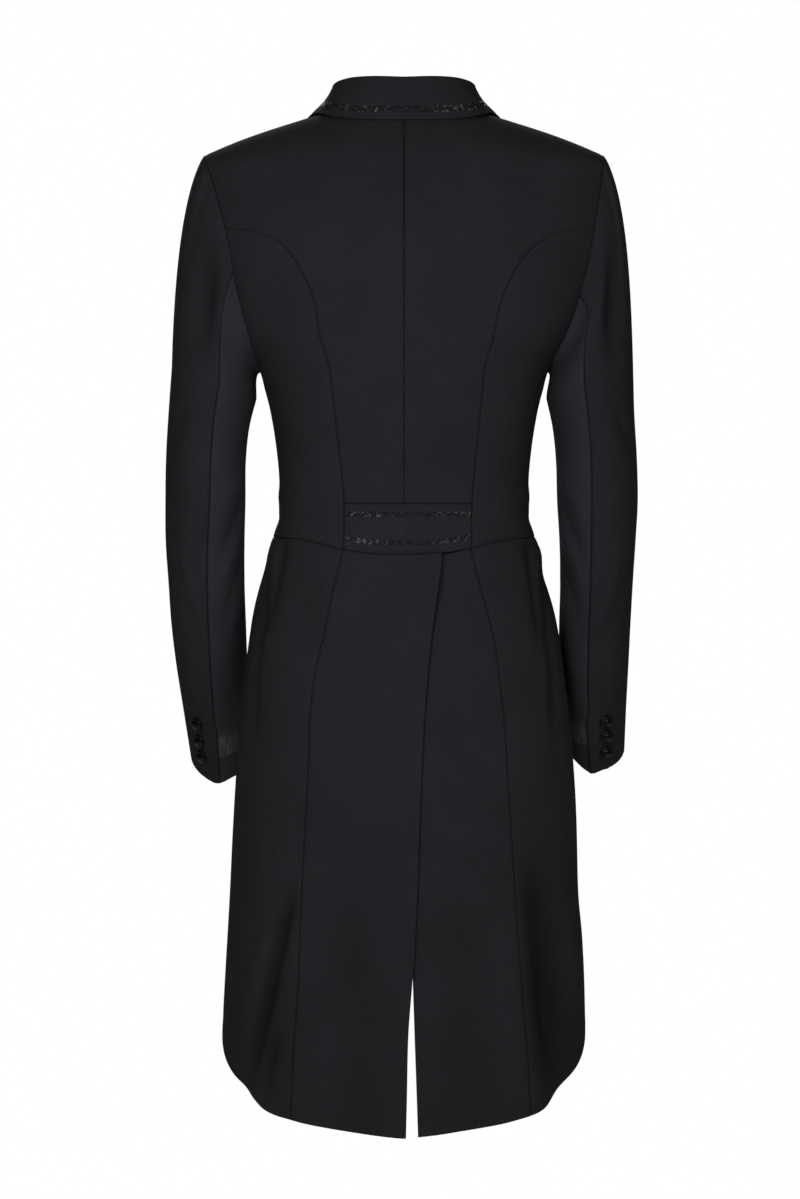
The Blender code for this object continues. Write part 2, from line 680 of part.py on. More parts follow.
def make_sleeve(side, cloth_material, stretch_material):
    """Top sleeve and under sleeve, whose columns start at the points of the body's armhole."""
    top, under = sleeve_columns(side)
    rows = joined(np.linspace(-1, 0, CAP_CELLS + 1), np.linspace(0, BAND_ROWS[0], ARM_CELLS + 1),
                  np.linspace(*BAND_ROWS, BAND_CELLS + 1), np.array([BAND_ROWS[1], 1]))
    back_round = smooth(rows, SLEEVE_SEAM_ROWS, BACK_SEAM[side])
    front_round = smooth(rows, SLEEVE_SEAM_ROWS, FRONT_SEAM_ROUND)
    for piece, columns, start, finish, material in (
            ("top_sleeve", top, front_round - 2 * np.pi, back_round, cloth_material),
            ("under_sleeve", under, back_round, front_round, stretch_material)):
        phi, fall = sleeve_grid(columns, rows, start, finish)
        phi[0] = columns
        reach = np.linalg.norm(by_quarter(columns, CAP_START, side), axis=-1)
        fall[0] = -1 + ARMHOLE_EASE / (3 * reach)
        points = on_sleeve(phi, to_cuff_hem(phi, fall, side), side, 0 * phi)
        cloth(f"{piece}_{SIDE_NAMES[side]}", points, material, ease=(0, SEAM_EASE, SLEEVE_EASE, SLEEVE_EASE))


def make_cuff(side, band_material, button_material):
    """The ribbed band round the under sleeve, and the three buttons beside the cuff's vent."""
    name = SIDE_NAMES[side]
    rows = np.linspace(*BAND_ROWS, BAND_CELLS + 1)
    start = smooth(rows, SLEEVE_SEAM_ROWS, BACK_SEAM[side])
    finish = smooth(rows, SLEEVE_SEAM_ROWS, FRONT_SEAM_ROUND)
    phi, fall = sleeve_grid(sleeve_columns(side)[1], rows, start, finish)
    fall = fall - BAND_SLANT * np.linspace(0, 1, len(rows))[:, None] * fade(phi, *BAND_SLANT_TURNS)
    points = on_sleeve(phi, fall, side, BAND_LIFT + 0 * phi)
    cloth(f"cuff_band_{name}", points, band_material, BAND_CLOTH, (0, 0, BAND_MARGIN, BAND_MARGIN))
    turn, falls = CUFF_BUTTONS[side]
    for number, row in enumerate(falls, 1):
        place = np.radians([turn]), np.array([row])
        foot = on_sleeve(*place, side, np.array([CLOTH / 2 + BUTTON_STANDOFF]))[0]
        above = on_sleeve(*place, side, np.array([CUFF_BUTTON]))[0]
        make_button(f"cuff_button_{name}_{number}", CUFF_BUTTON / 2, foot, above - foot, button_material)


def make_button(name, radius, foot, direction, material):
    """A domed button: its outline turned about Z, then set on the cloth along direction."""
    height = radius * 2 * BUTTON_DOME
    mesh = bpy.data.meshes.new(name)
    points = [(radius * out, 0, height * up) for out, up in BUTTON_OUTLINE]
    mesh.from_pydata(points, [(i, i + 1) for i in range(len(points) - 1)], [])
    mesh.materials.append(material)
    button = add_object(name, mesh)
    screw = button.modifiers.new("turned", "SCREW")
    screw.steps = screw.render_steps = BUTTON_SIDES
    screw.use_merge_vertices = True
    screw.merge_threshold = 0.00001
    screw.use_smooth_shade = True
    button.location = Vector(foot)
    button.rotation_mode = "QUATERNION"
    button.rotation_quaternion = Vector(direction).to_track_quat("Z", "Y")
    return button


def make_front_buttons(material):
    """Three buttons down the middle of the right front."""
    for number, down in enumerate(FRONT_BUTTONS, 1):
        place = np.array([np.pi]), np.array([down])
        foot = on_form(RIGHT, *place, LAP + CLOTH / 2 + BUTTON_STANDOFF)[0]
        above = on_form(RIGHT, *place, FRONT_BUTTON)[0]
        make_button(f"front_button_{number}", FRONT_BUTTON / 2, foot, above - foot, material)


def make_collar(material):
    """The collar: a stand that rises from the neckline, folds over and falls to its edge on the coat."""
    front = {name: FRONT_EDGE[name][:3] for name in ("out", "down")}
    neck = evenly(np.concatenate([NECKLINE_BACK["angle"], front_angle(front["out"], front["down"])]),
                  np.concatenate([NECKLINE_BACK["down"], front["down"]]), COLLAR_CELLS)
    front = COLLAR_EDGE_FRONT
    edge = evenly(np.concatenate([COLLAR_EDGE_BACK["angle"], front_angle(front["out"], front["down"])]),
                  np.concatenate([COLLAR_EDGE_BACK["down"], front["down"]]), COLLAR_CELLS)
    share = np.linspace(0, 1, COLLAR_CELLS + 1)
    height, lean, inset, spring = (read(COLLAR_STAND, name, share, "share")[:, None]
                                   for name in ("height", "lean", "inset", "spring"))
    up = np.array([0, 0, 1])
    seam = form(neck[:, 0], neck[:, 1])
    sideways = fade(share, *COLLAR_SIDEWAYS)[:, None]
    out = unit(unit(seam * (1, 1, 0)) * (1 - sideways) + np.array([1, 0, 0]) * sideways)
    base = seam - out * inset + up * STAND_EASE
    fold = base + up * height - out * lean
    fall = on_form(LEFT, edge[:, 0], edge[:, 1], COLLAR_LIFT)
    crown = fold + out * COLLAR_FOLD / 2 + up * COLLAR_CROWN
    over = fold + out * COLLAR_FOLD - up * height * COLLAR_DROP
    middle = (over + fall) / 2 + out * spring
    half = np.stack([base, (base + fold) / 2, base * 0.1 + fold * 0.9, crown, over, middle, fall])
    mirrored = half[:, :0:-1] * (-1, 1, 1)
    cloth("collar", np.concatenate([mirrored, half], axis=1), material)


def clear_scene():
    """An empty scene with the coat's own collection."""
    for thing in list(bpy.data.objects):
        bpy.data.objects.remove(thing)
    coat = bpy.data.collections.new("dressage_tailcoat")
    bpy.context.scene.collection.children.link(coat)


def make_coat():
    """Every piece of the coat."""
    wool = make_material("coat_cloth", (0.019, 0.017, 0.020), 0.85)
    stretch = make_material("stretch_cloth", (0.024, 0.021, 0.026), 0.7)
    ribbed = make_material("ribbed_cloth", (0.034, 0.030, 0.035), 0.75)
    gloss = make_material("button_gloss", (0.006, 0.005, 0.006), 0.15, 0.6)
    for side in (LEFT, RIGHT):
        make_backs(side, wool)
        make_fronts(side, wool)
        make_lapel(side, wool)
        make_tails(side, wool)
        make_sleeve(side, wool, stretch)
        make_cuff(side, ribbed, gloss)
    make_tab(wool)
    make_collar(wool)
    make_front_buttons(gloss)


clear_scene()
make_coat()
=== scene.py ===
"""The dressage tailcoat as photographed: shells of cloth, stitches, stones and buttons round its solids.

Metres, +Z up. The wearer faces -Y, so +Y is the back and +X the wearer's left. Heights are written as the
distance down from the side neck points. The cloth follows the solids' own tables on much finer grids.
"""

import bpy
import numpy as np
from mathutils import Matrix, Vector


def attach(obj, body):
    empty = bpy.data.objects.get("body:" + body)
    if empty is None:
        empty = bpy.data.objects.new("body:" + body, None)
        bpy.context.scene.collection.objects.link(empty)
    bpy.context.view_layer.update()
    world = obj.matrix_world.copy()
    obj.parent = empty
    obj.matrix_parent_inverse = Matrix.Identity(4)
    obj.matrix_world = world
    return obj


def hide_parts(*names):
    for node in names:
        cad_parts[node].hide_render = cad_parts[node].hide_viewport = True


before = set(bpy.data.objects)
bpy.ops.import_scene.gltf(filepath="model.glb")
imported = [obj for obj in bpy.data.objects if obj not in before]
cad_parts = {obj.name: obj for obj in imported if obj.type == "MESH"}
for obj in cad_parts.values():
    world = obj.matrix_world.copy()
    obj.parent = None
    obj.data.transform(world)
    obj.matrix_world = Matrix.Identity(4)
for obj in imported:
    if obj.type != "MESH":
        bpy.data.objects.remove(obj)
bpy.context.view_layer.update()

MM = 0.001
TINY = 1e-9
LEFT, RIGHT = 1, -1
SIDE_NAMES = {LEFT: "left", RIGHT: "right"}

# Camera: the photograph's 800 by 1199 pixels at 0.98 mm each, taken at the plane of the coat's back
VIEW_HEIGHT = 1199 * 0.98 * MM
VIEW_CENTRE = (3.92 * MM, -477.8 * MM)
VIEW_PLANE = 50 * MM
CAMERA_DISTANCE = 10.0
FILM = 36.0

# Studio: the floor, how the white surroundings light cloth and gloss, and the lights' places, sizes and watts
FLOOR = -1.45
FLOOR_RADIUS = 3.4
FLOOR_SIDES = 96
AMBIENT = 0.22
MIRRORED = 0.05
LIGHT_AIM = (0, 0, -0.38)
LIGHTS = {"key": ((0.30, 1.30, -0.20), 0.5, 10), "fill": ((-1.2, 1.8, -0.1), 0.8, 9),
          "top": ((0.0, 1.5, 1.9), 1.2, 3), "front": ((0.2, -2.2, 0.9), 1.6, 26)}

# Walls, seams and laps, as in the solids
CLOTH = 1.6 * MM
BAND_CLOTH = 0.9 * MM
SEAM_EASE = 0.15 * MM
SLEEVE_EASE = 0.3 * MM
ARMHOLE_EASE = 0.4 * MM
LAP = 1.2 * MM
VENT_LAP = {LEFT: (10 * MM, 40 * MM), RIGHT: (-45 * MM, -75 * MM)}
FRONT_LAP = (18 * MM, 45 * MM)
BAND_LIFT = 1.3 * MM
LAPEL_LIFT = 2.5 * MM
LAPEL_SPRING = 0.6 * MM
LAPEL_BEND = 0.75 * np.pi
COLLAR_LIFT = 3.0 * MM
SHOULDER = 42 * MM
SHOULDER_ROWS = np.array([0, 5, 9, 22.5, 37, 42]) * MM
SEAM_MEETS_ARMHOLE = 114 * MM
FRONT_SEAM_MEETS_ARMHOLE = 170 * MM
UNDERARM = 254 * MM
SLEEVE_TOP = 265 * MM
HEM_OF_SLEEVE = {LEFT: 638 * MM, RIGHT: 627 * MM}
LAPEL_TOP = 67 * MM
LAPEL_END = 288 * MM
TAB_WAIST = 428.5 * MM

# Sewing: how the cloth rolls into a seam, the shade painted into its colour there and in the hollows of
# folds, and the topstitching beside it
ROLL_DEPTH = 0.8 * MM
ROLL_WIDTH = 0.8 * MM
SEAM_PAINTED_SHADE = 0.62
HOLLOW_DEPTH = 12 * MM
HOLLOW_SHADE = 0.52
BESIDE_EDGE = (0.15, 0.45)
BLUNT = 0.15
TOPSTITCH = 2.6 * MM
TAB_STITCH = 3.6 * MM
HEM_STITCH = 6 * MM
STITCH_PITCH = 3.0 * MM
STITCH = (2.1 * MM, 0.24 * MM, 0.24 * MM)
BAR_PITCH = 3.2 * MM
BAR = (0.8 * MM, 1.1 * MM, 0.3 * MM)
STITCH_PROFILE = [(-0.5, 0.35), (-0.3, 1), (0.3, 1), (0.5, 0.35)]
STITCH_SIDES = 4
STATION_STEP = 1 / 8
BODY_STITCHING = [("back_side", "foot"), ("front_side", "foot"), ("front", "foot"), ("front", "last"),
                  ("lapel", "last")]
TAIL_STITCHING = [("tail_centre", "last", TOPSTITCH), ("tail_centre", "foot", HEM_STITCH),
                  ("tail_side", "foot", HEM_STITCH), ("tail_side", "last", HEM_STITCH)]

# Stones: their rows beside an edge, as the first row's distance from it and the count, and where sparkle is
# painted lighter into their colour
STONE = 1.5 * MM
STONE_PITCH = 1.75 * MM
STONE_MARGIN = 1.5 * STONE_PITCH
STONE_TILT = 0.17
STONE_ROWS = {"collar_stones": ("collar", "foot", 7.6 * MM, 4),
              "tab_stones_upper": ("waist_tab", "top", 8.85 * MM, 3),
              "tab_stones_lower": ("waist_tab", "foot", 9.65 * MM, 3)}
STONE_PROFILE = [(-0.2, 0.95), (0.12, 1), (0.42, 0.6)]
STONE_SIDES = 6
STONE_SEED = 7
PAINTED_SPARKLE = {"middle": -8 * MM, "off": 44 * MM, "full": 10 * MM, "none": 26 * MM}

# Buttons: their profile runs from the foot's middle to the dome's, as shares of the radius and of the height
CUFF_BUTTON = 14.5 * MM
FRONT_BUTTON = 20 * MM
BUTTON_PROFILE = np.array([
    (0, 0), (0.5, 0), (0.94, 0.04), (1, 0.16), (1, 0.3), (0.96, 0.42), (0.88, 0.5), (0.8, 0.5), (0.74, 0.46),
    (0.68, 0.5), (0.56, 0.68), (0.4, 0.84), (0.2, 0.96), (0, 1)])
BUTTON_DOME = 0.33
BUTTON_STANDOFF = 0.4 * MM
BUTTON_SIDES = 40
BUTTON_RINGS = 40

# Cloths: the darker and the lighter colour, the roughness, the sheen and the pitch of the threads or ribs,
# then how much slubs count beside soft patches, the noise's usual range, the light and shade painted along
# the ribs, and what ribs and fibres add to the bumps
CLOTHS = {
    "coat_twill": ((0.0150, 0.0136, 0.0162), (0.0195, 0.0178, 0.0210), 0.85, 0.004, 0.5 * MM),
    "stretch_jersey": ((0.0190, 0.0170, 0.0205), (0.0250, 0.0226, 0.0266), 0.62, 0.01, 0.42 * MM),
    "ribbed_band": ((0.018, 0.016, 0.019), (0.070, 0.064, 0.071), 0.7, 0.03, 1.4 * MM)}
CLOTH_SPECULAR = 0.04
SLUBS_PER_METRE = (900, 60, 1)
SLUB_SHARE = 0.55
NOISE_RANGE = (0.36, 0.64)
RIB_PAINTED_SHADING = 0.2
THREAD_HEIGHT = 0.5
FIBRE_HEIGHT = 0.7
THREAD_BUMP = 0.09 * MM
ROUGHNESS_RANGE = 0.05
BLACK = (0, 0, 0)

# Thread, resin, glass and floor: the darker and the lighter colour, the roughness and the specular level
THREAD_LOOK = (0.012, 0.011, 0.013), (0.020, 0.018, 0.021), 0.6, 0.1
RESIN_LOOK = (0.0015, 0.0015, 0.0015), (0.005, 0.0045, 0.005), 0.09, 0.14
RESIN_ROUGHNESS = (0.06, 0.12)
# the glass's lighter colour is painted glint
GLASS_LOOK = (0.004, 0.004, 0.005), (0.17, 0.163, 0.176), 0.24, 0.1
PAINTED_GLINT_RANGE = (0.5, 0.75)
LEAST_PAINTED_SPARKLE = 0.12
FLOOR_LOOK = (0.86, 0.86, 0.86), (0.92, 0.92, 0.92), 0.8, 0.5

# Cells of cloth along each edge and across each piece: as in the solids, times how many lie in one of theirs
FINE = 5
SHOULDER_CELLS = 4 * FINE
UPPER_BACK_CELLS = 5 * FINE
LOWER_BACK_CELLS = 9 * FINE
SIDE_SEAM_CELLS = 11 * FINE
TAB_CELLS = 3 * FINE
LOWER_FRONT_CELLS = 5 * FINE
UPPER_FRONT_CELLS = 7 * FINE
TAIL_CELLS = 16 * FINE
CAP_CELLS = 5 * FINE
ARM_CELLS = 11 * FINE
BAND_CELLS = 2 * FINE
COLLAR_CELLS = 14 * FINE
LAPEL_CELLS = 8 * FINE
ACROSS = {"back_centre": 7 * FINE, "back_side": 6 * FINE, "front_side": 5 * FINE, "front": 7 * FINE,
          "waist_tab": 12 * FINE, "tail_centre": 8 * FINE, "tail_side": 12 * FINE, "lapel": 4 * FINE,
          "collar": 8 * FINE}


def table(names, rows):
    """A short table as named columns: angles from degrees to radians, the rest from millimetres to metres."""
    columns = zip(names.split(), np.array(rows, float).T)
    return {name: np.radians(column) if name == "angle" else column * MM for name, column in columns}


# The form that the coat keeps: level rings, with their depth behind and before the side line
FORM = table("down half_width back front", [
    (-12, 70, 52, 40), (0, 79, 58, 50), (5, 96, 60, 55), (9, 109, 63, 58), (22.5, 150, 72, 67),
    (37, 186, 80, 77), (42, 197, 82, 80), (67, 203, 91, 95), (90, 203, 98, 106), (114, 201, 103, 115),
    (145, 195, 106, 124), (162, 190, 106, 127), (190, 179, 105.5, 128), (220, 164, 103, 124),
    (240, 149, 100.5, 118), (254, 141, 99, 114), (272, 136, 96, 109), (287, 132, 93, 105),
    (302, 129, 90, 102), (332, 124.5, 83.5, 96), (361, 122, 79, 92), (390, 122.5, 79, 91),
    (420, 129, 84, 93), (449, 138, 92, 96), (478, 144, 102, 100), (522, 150.5, 113, 105),
    (600, 159, 119, 108), (684, 166.5, 120, 108), (772, 171, 119, 106), (890, 177.5, 117, 104),
    (1010, 181, 115, 102)])

# How square each ring is: 2 is an ellipse
SQUARENESS = {"down": np.array([0, 42, 150, 254, 361, 450, 1010]) * MM,
              "power": np.array([2.0, 2.05, 2.15, 2.25, 2.3, 2.35, 2.35])}

# Armholes, as the distance out from the middle of the back or of the front
BACK_ARMHOLE = table("down left right", [
    (42, 197, 197), (67, 188, 194), (90, 181.5, 190.5), (114, 175, 186.5), (145, 168.6, 181),
    (162, 166, 176.5), (190, 159.5, 169), (220, 151, 157), (240, 145, 146.5), (254, 141, 141)])
FRONT_ARMHOLE = table("down both", [
    (42, 197), (67, 182), (90, 173), (114, 166), (145, 160), (170, 156), (200, 151), (220, 147.5),
    (240, 143.5), (254, 141)])

# Curved back seams from the armhole to the tab, where their rows meet the middle, and the tab's sides
CURVED_SEAM = {
    LEFT: table("out down", [
        (157, 115.5), (135, 121), (120.5, 129), (109, 142), (100, 158), (92, 174), (88, 186), (80.4, 227),
        (66, 310), (58.8, 384)]),
    RIGHT: table("out down", [
        (160, 116.5), (140, 123), (128.4, 131), (114, 147), (102, 168), (91.5, 200), (83.3, 235), (72.5, 318),
        (66.6, 384)])}
MIDDLE_ROWS = {"cell": np.array([0, 9, 11, 26]) * FINE, "down": np.array([3, 108, 134, 384]) * MM}
TAB_SIDE = {LEFT: 59.2 * MM, RIGHT: 66.4 * MM}
SIDE_SEAM_FOOT = np.radians(92)
FRONT_SEAM = table("down angle", [(200, 133), (240, 140), (300, 146), (361, 148), (438, 148)])

# Waist seam and hem, as the angle from the middle of the back
WAIST_SEAM = table("angle down", [
    (0, 433.6), (10, 433), (24, 428.5), (34, 424), (52, 418.5), (70, 417), (92, 417), (120, 422), (148, 438),
    (165, 462), (180, 478), (190, 480)])
HEM = table("angle down", [
    (0, 1003), (7, 1000), (15, 996), (21, 993), (30, 988.3), (35, 985), (41, 981), (47.5, 974.5),
    (56.6, 956.8), (69.4, 938), (79.7, 920.7), (90, 898), (97, 868), (106, 815)])
TAIL_FRONT_EDGE = table("down angle", [(410, 104), (480, 102), (560, 99), (700, 97), (1010, 97)])

# Tail seams and the two edges of the vent, out from the middle of the back
TAIL_SEAM = table("down left right", [
    (430, 59.6, 65.7), (474, 70.8, 76.8), (506, 77.3, 85.5), (557, 88.1, 93.4), (597, 92, 98),
    (644, 93.6, 100.9), (692, 96, 103.8), (789, 101, 110.7), (854, 102.4, 114.3), (910, 106.8, 118.8),
    (1005, 112, 125)])
VENT_EDGE = table("down left right", [
    (430, -37.2, -6), (450, -35.3, -5.3), (493, -29.4, -3.9), (517, -26.5, -3), (857, -7.8, 8.7),
    (893, -4.9, 9.9), (968, -2.9, 12.5), (1005, -2, 13.7)])

# Front edge: the roll line down to the top button, then the lapped edge past the middle
FRONT_EDGE = table("out down", [
    (77.5, 0.6), (72, 14), (66.5, 42), (61, 62), (52, 100), (39.5, 150), (27, 200), (14, 250), (1.5, 300),
    (-9, 316), (-14, 335), (-15, 370), (-15, 420), (-15, 479)])
ROLL_LINE = table("down out", [
    (42, 66.5), (62, 61), (100, 52), (150, 39.5), (200, 27), (250, 14), (300, 1.5)])
LAPEL_EDGE = table("down out", [(62, 134), (90, 128), (130, 104), (180, 76), (240, 42), (288, 14)])

# Collar: its stand's height, lean and set by the share of the way round, its fold, and where its fall ends
COLLAR_STAND = {"share": np.array([0, 0.2, 0.3, 0.4, 0.5, 0.7, 0.85, 1]),
                "height": np.array([34.6, 34.6, 33.2, 30, 26.6, 25, 21, 15]) * MM,
                "lean": np.array([5, 7, 8, 9, 10, 11, 8, 2]) * MM,
                "inset": np.array([1, 1, 1, 1, 1.2, 1.8, 3.6, 4.2]) * MM,
                "spring": np.array([2, 1.2, 0.5, -0.3, -1, 0, 1.5, 2]) * MM}
COLLAR_FOLD = 3.4 * MM
COLLAR_CROWN = 1.2 * MM
COLLAR_NEAR_FOLD = 0.9
COLLAR_DROP = 0.1
COLLAR_SIDEWAYS = (0.8, 0.55)
COLLAR_ROWS = np.array([0, 0.3, 0.54, 0.6, 0.67, 0.83, 1])
STAND_EASE = 0.9 * MM
NECKLINE_BACK = table("angle down", [(0, 3), (30, 2), (60, 1), (90, 0)])
COLLAR_EDGE_BACK = table("angle down", [(0, 10), (30, 8.5), (60, 3.8), (90, 2.2)])
COLLAR_EDGE_FRONT = table("out down", [(101, 14), (109, 28), (118, 45), (126, 58)])

# Sleeves: each row is a section across the arm, pitched forward by its angle
SLEEVE = table("down left_outer left_inner right_outer right_inner middle half_depth inner_drop angle", [
    (265, 228, 146, 225, 141, -2, 52, 30, 0), (300, 231, 153, 226, 147, 0, 51, 16, 0),
    (340, 233.5, 156.5, 228.5, 150.5, 2, 50, 6, 2), (380, 234.2, 156.8, 229.5, 151.5, 1, 50, 0, 6),
    (420, 234, 157.8, 227.4, 153.9, -4, 49, 0, 11), (460, 231.5, 158, 225, 154.8, -14, 48, 0, 16),
    (500, 229, 156.8, 223, 154, -27, 47, 0, 19), (540, 224.5, 155.5, 221.3, 153.5, -41, 46, 0, 21),
    (580, 218.5, 152.5, 219.5, 153, -57, 45, 0, 22), (640, 209.5, 148, 217.5, 155, -80, 44, 0, 22)])
SLEEVE_SEAM_ROWS = np.array([-1, -0.5, 0, 0.25, 0.5, 0.75, 1])
BACK_SEAM = {LEFT: np.radians([95.5, 96.5, 98, 98, 93, 90, 81]),
             RIGHT: np.radians([107.6, 102, 98, 99, 101.5, 101, 92])}
FRONT_SEAM_ROUND = np.radians([258, 268, 275, 282, 288, 290, 290])
BACK_SEAM_CELL = {LEFT: 2 * FINE, RIGHT: 3 * FINE}
CAP_START = np.array([(22, 0, -38), (15, 4, -26), (7, 0, 1), (15, -4, -26)]) * MM
CAP_END = np.array([(-2, 0, 80), (-2, 5, 45), (0, 0, 12), (-2, -5, 45)]) * MM

# Cuffs: how far round and down the buttons sit, the ribbed band's rows, where the vent opens, the mark above
CUFF_BUTTONS = {LEFT: (55.0, (0.863, 0.908, 0.950)), RIGHT: (67.5, (0.877, 0.916, 0.960))}
BAND_ROWS = (0.868, 0.950)
BAND_MARGIN = 2 * MM
BAND_TOP = (0.878, 0.868)
BAND_SLANT = 0.03
BAND_FADE = 12 * MM
BAND_SLANT_TURNS = np.radians([160, 75])
CUFF_VENT = 0.845
CUFF_VENT_LIFT = 1.1 * MM
CUFF_VENT_WIDTH = 7 * MM
CUFF_VENT_OVER = 3.5 * MM
CUFF_VENT_EASE = 0.03
CUFF_MARK = {LEFT: 0.824, RIGHT: 0.838}
CUFF_MARK_TURNS = np.radians([-6.5, -3.25, 0, 3.25, 6.5])
FRONT_BUTTONS = np.array([330, 376, 422]) * MM

# How much lower than a level hem each cuff ends, by the degrees round the arm
CUFF_HEM = {
    LEFT: table("angle drop", [(-70, -3), (0, -5), (81, 3), (119, -2), (180, -4), (290, -3)]),
    RIGHT: table("angle drop", [(-70, -4), (0, -2), (70, 3), (95, 3), (136, -8), (180, -10), (290, -4)])}
CUFF_POINT = 2.5 * MM
CUFF_POINT_WIDTH = np.radians(16)

# Folds in the tails: a line from top to foot, its half width and depth (out positive), the ease at its ends
TAIL_FOLDS = table("top_x top_down foot_x foot_down half_width depth ease", [
    (107, 745, 149, 932, 8, -10, 60), (128, 790, 160, 900, 11, 4, 50), (122, 890, 136, 955, 8, -7, 35),
    (98, 800, 122, 960, 13, 3, 50), (170, 880, 166, 905, 6, -3, 15), (55, 760, 40, 1005, 24, -3, 60),
    (-128, 700, -146, 940, 16, -11, 90), (-104, 800, -118, 960, 13, 3, 50), (-162, 760, -172, 880, 9, 3, 50),
    (-148, 800, -155, 955, 17, -6, 80), (-60, 740, -62, 1005, 24, -3, 60), (90, 450, 96, 520, 16, -2.5, 30),
    (116, 410, 134, 505, 5, -5, 26), (124, 410, 142, 570, 5, 3, 26), (132, 430, 147, 600, 5, -4.5, 30),
    (144, 430, 163, 640, 9, 2, 70), (-121, 410, -135, 520, 5, -5, 26), (-128, 410, -143, 580, 5, 3, 26),
    (-135, 430, -147, 600, 5, -5, 30), (-147, 420, -168, 700, 9, 3.5, 90)])

# The tails: the guess their rows are laid from, in how many passes, and how they stand open at the vent
TAIL_GUESS = 600 * MM
TAIL_PASSES = 8
VENT_OPEN = {"down": 466 * MM, "half_length": 36 * MM, "half_width": 13 * MM, "lift": 5.5 * MM,
             "edge": 0.8 * MM, "under": 2.4 * MM}

# Drag folds in the body from the top button, the waist and the underarm, then those at and inside the elbow,
# in degrees and millimetres: a line from one angle and height to another, its half width and its depth
BODY_FOLDS = np.array([
    (158, 336, 118, 300, 8, -2.2), (156, 350, 112, 322, 9, 1.8), (158, 378, 110, 366, 9, -2.4),
    (160, 396, 116, 392, 9, 1.6), (118, 404, 78, 398, 7, -1.6), (112, 382, 72, 372, 8, 1.2),
    (84, 352, 58, 376, 8, -1.1), (100, 262, 124, 318, 9, -2.0), (80, 262, 62, 300, 8, -1.2)])
ELBOW_FOLDS = np.array([
    (160, 345, 105, 395, 8, 1.8), (165, 372, 112, 424, 8, -2.2), (168, 396, 108, 452, 8, 2.2),
    (172, 424, 115, 480, 8, -2.2), (176, 450, 120, 505, 9, 1.6), (300, 360, 215, 384, 9, -2.6),
    (305, 396, 220, 408, 9, 2.2), (298, 424, 210, 436, 9, -2.6), (300, 470, 225, 500, 9, -1.6),
    (60, 300, 20, 345, 12, -1.8), (50, 430, 95, 500, 14, 1.8), (85, 520, 60, 640, 14, 2.0)])
FOLD_ENDS = (0.3, -0.1)

# Soft dents in the sleeve caps: turn and share down the cap, their half widths, and the depth
CAP_DENTS = {LEFT: [(72, -0.45, 15, 0.26, -7.0), (40, -0.35, 14, 0.24, 2.0), (-60, -0.45, 22, 0.26, -4.0)],
             RIGHT: [(56, -0.35, 16, 0.26, -8.0), (98, -0.3, 14, 0.2, 2.5), (-56, -0.4, 22, 0.26, -4.0)]}

# Steps over which the slopes of the form and of the sleeve are taken
FORM_STEPS = (1e-3, 0.5 * MM)
SLEEVE_STEPS = (5e-3, 4e-3)


def smooth(x, xs, ys):
    """A smooth curve through the points xs, ys: a cubic in each cell, with the slopes of its neighbours."""
    slopes = np.gradient(ys, xs, axis=0)
    x = np.clip(x, xs[0], xs[-1])
    cell = np.clip(np.searchsorted(xs, x, side="right") - 1, 0, len(xs) - 2)
    shape = np.shape(x) + (1,) * (ys.ndim - 1)
    width = (xs[cell + 1] - xs[cell]).reshape(shape)
    t = (x - xs[cell]).reshape(shape) / width
    start = ys[cell] * (1 + 2 * t) * (1 - t) ** 2 + width * slopes[cell] * t * (1 - t) ** 2
    finish = ys[cell + 1] * t * t * (3 - 2 * t) + width * slopes[cell + 1] * t * t * (t - 1)
    return start + finish


def shares(cells):
    """Shares from 0 to 1, one for each side of so many cells."""
    return np.linspace(0, 1, cells + 1)


def read(rows, name, place, key="down"):
    """One named column of a table, at a place in its key column."""
    return smooth(place, rows[key], rows[name])


def fade(x, full, none):
    """1 at full, 0 at none, with a soft ease between."""
    t = np.clip((x - none) / (full - none), 0, 1)
    return t * t * (3 - 2 * t)


def bell(x, half_width):
    """A soft bump: 1 at nought, falling as the square's exponential, to about a third at half_width."""
    return np.exp(-(x / half_width) ** 2)


def form(theta, down):
    """The form's surface: superellipse rings, theta 0 at the middle of the back, 90 degrees at the left."""
    power = 2 / read(SQUARENESS, "power", down)
    sine, cosine = np.sin(theta), np.cos(theta)
    depth = np.where(cosine > 0, read(FORM, "back", down), read(FORM, "front", down))
    x = read(FORM, "half_width", down) * np.sign(sine) * np.abs(sine) ** power
    y = depth * np.sign(cosine) * np.abs(cosine) ** power
    return np.stack([x, y, -down + 0 * x], axis=-1)


def back_angle(out, down):
    """The angle at which the back of the form stands out from the middle by out."""
    share = np.clip(np.abs(out) / read(FORM, "half_width", down), 0, 1)
    return np.sign(out) * np.arcsin(share ** (read(SQUARENESS, "power", down) / 2))


def front_angle(out, down):
    """The same on the front of the form."""
    return np.pi - back_angle(out, down)


def unit(vectors):
    """Vectors of length 1."""
    return vectors / np.maximum(np.linalg.norm(vectors, axis=-1, keepdims=True), TINY ** 2)


def outward(surface, first, second, steps):
    """The unit normal of surface(first, second), from the cross product of its two slopes."""
    across = surface(first + steps[0], second) - surface(first - steps[0], second)
    along = surface(first, second + steps[1]) - surface(first, second - steps[1])
    return unit(np.cross(across, along))


def on_form(side, theta, down, lift):
    """Points of the form on one side, moved out along its normal by lift."""
    normal = outward(form, side * theta, down, FORM_STEPS)
    points = form(side * theta, down)
    normal *= np.where((normal[..., :2] * points[..., :2]).sum(-1) < 0, -1, 1)[..., None]
    return points + normal * np.broadcast_to(lift, down.shape)[..., None]


def evenly(theta, down, cells):
    """A curve through the points theta, down on the form, cut into equal lengths."""
    length = lengths(form(theta, down), 0)
    places = np.linspace(0, length[-1], cells + 1)
    return np.stack([smooth(places, length, theta), smooth(places, length, down)], axis=-1)


def joined(*edges):
    """Edges end to end, each shared point kept once."""
    return np.concatenate([edges[0]] + [edge[1:] for edge in edges[1:]])


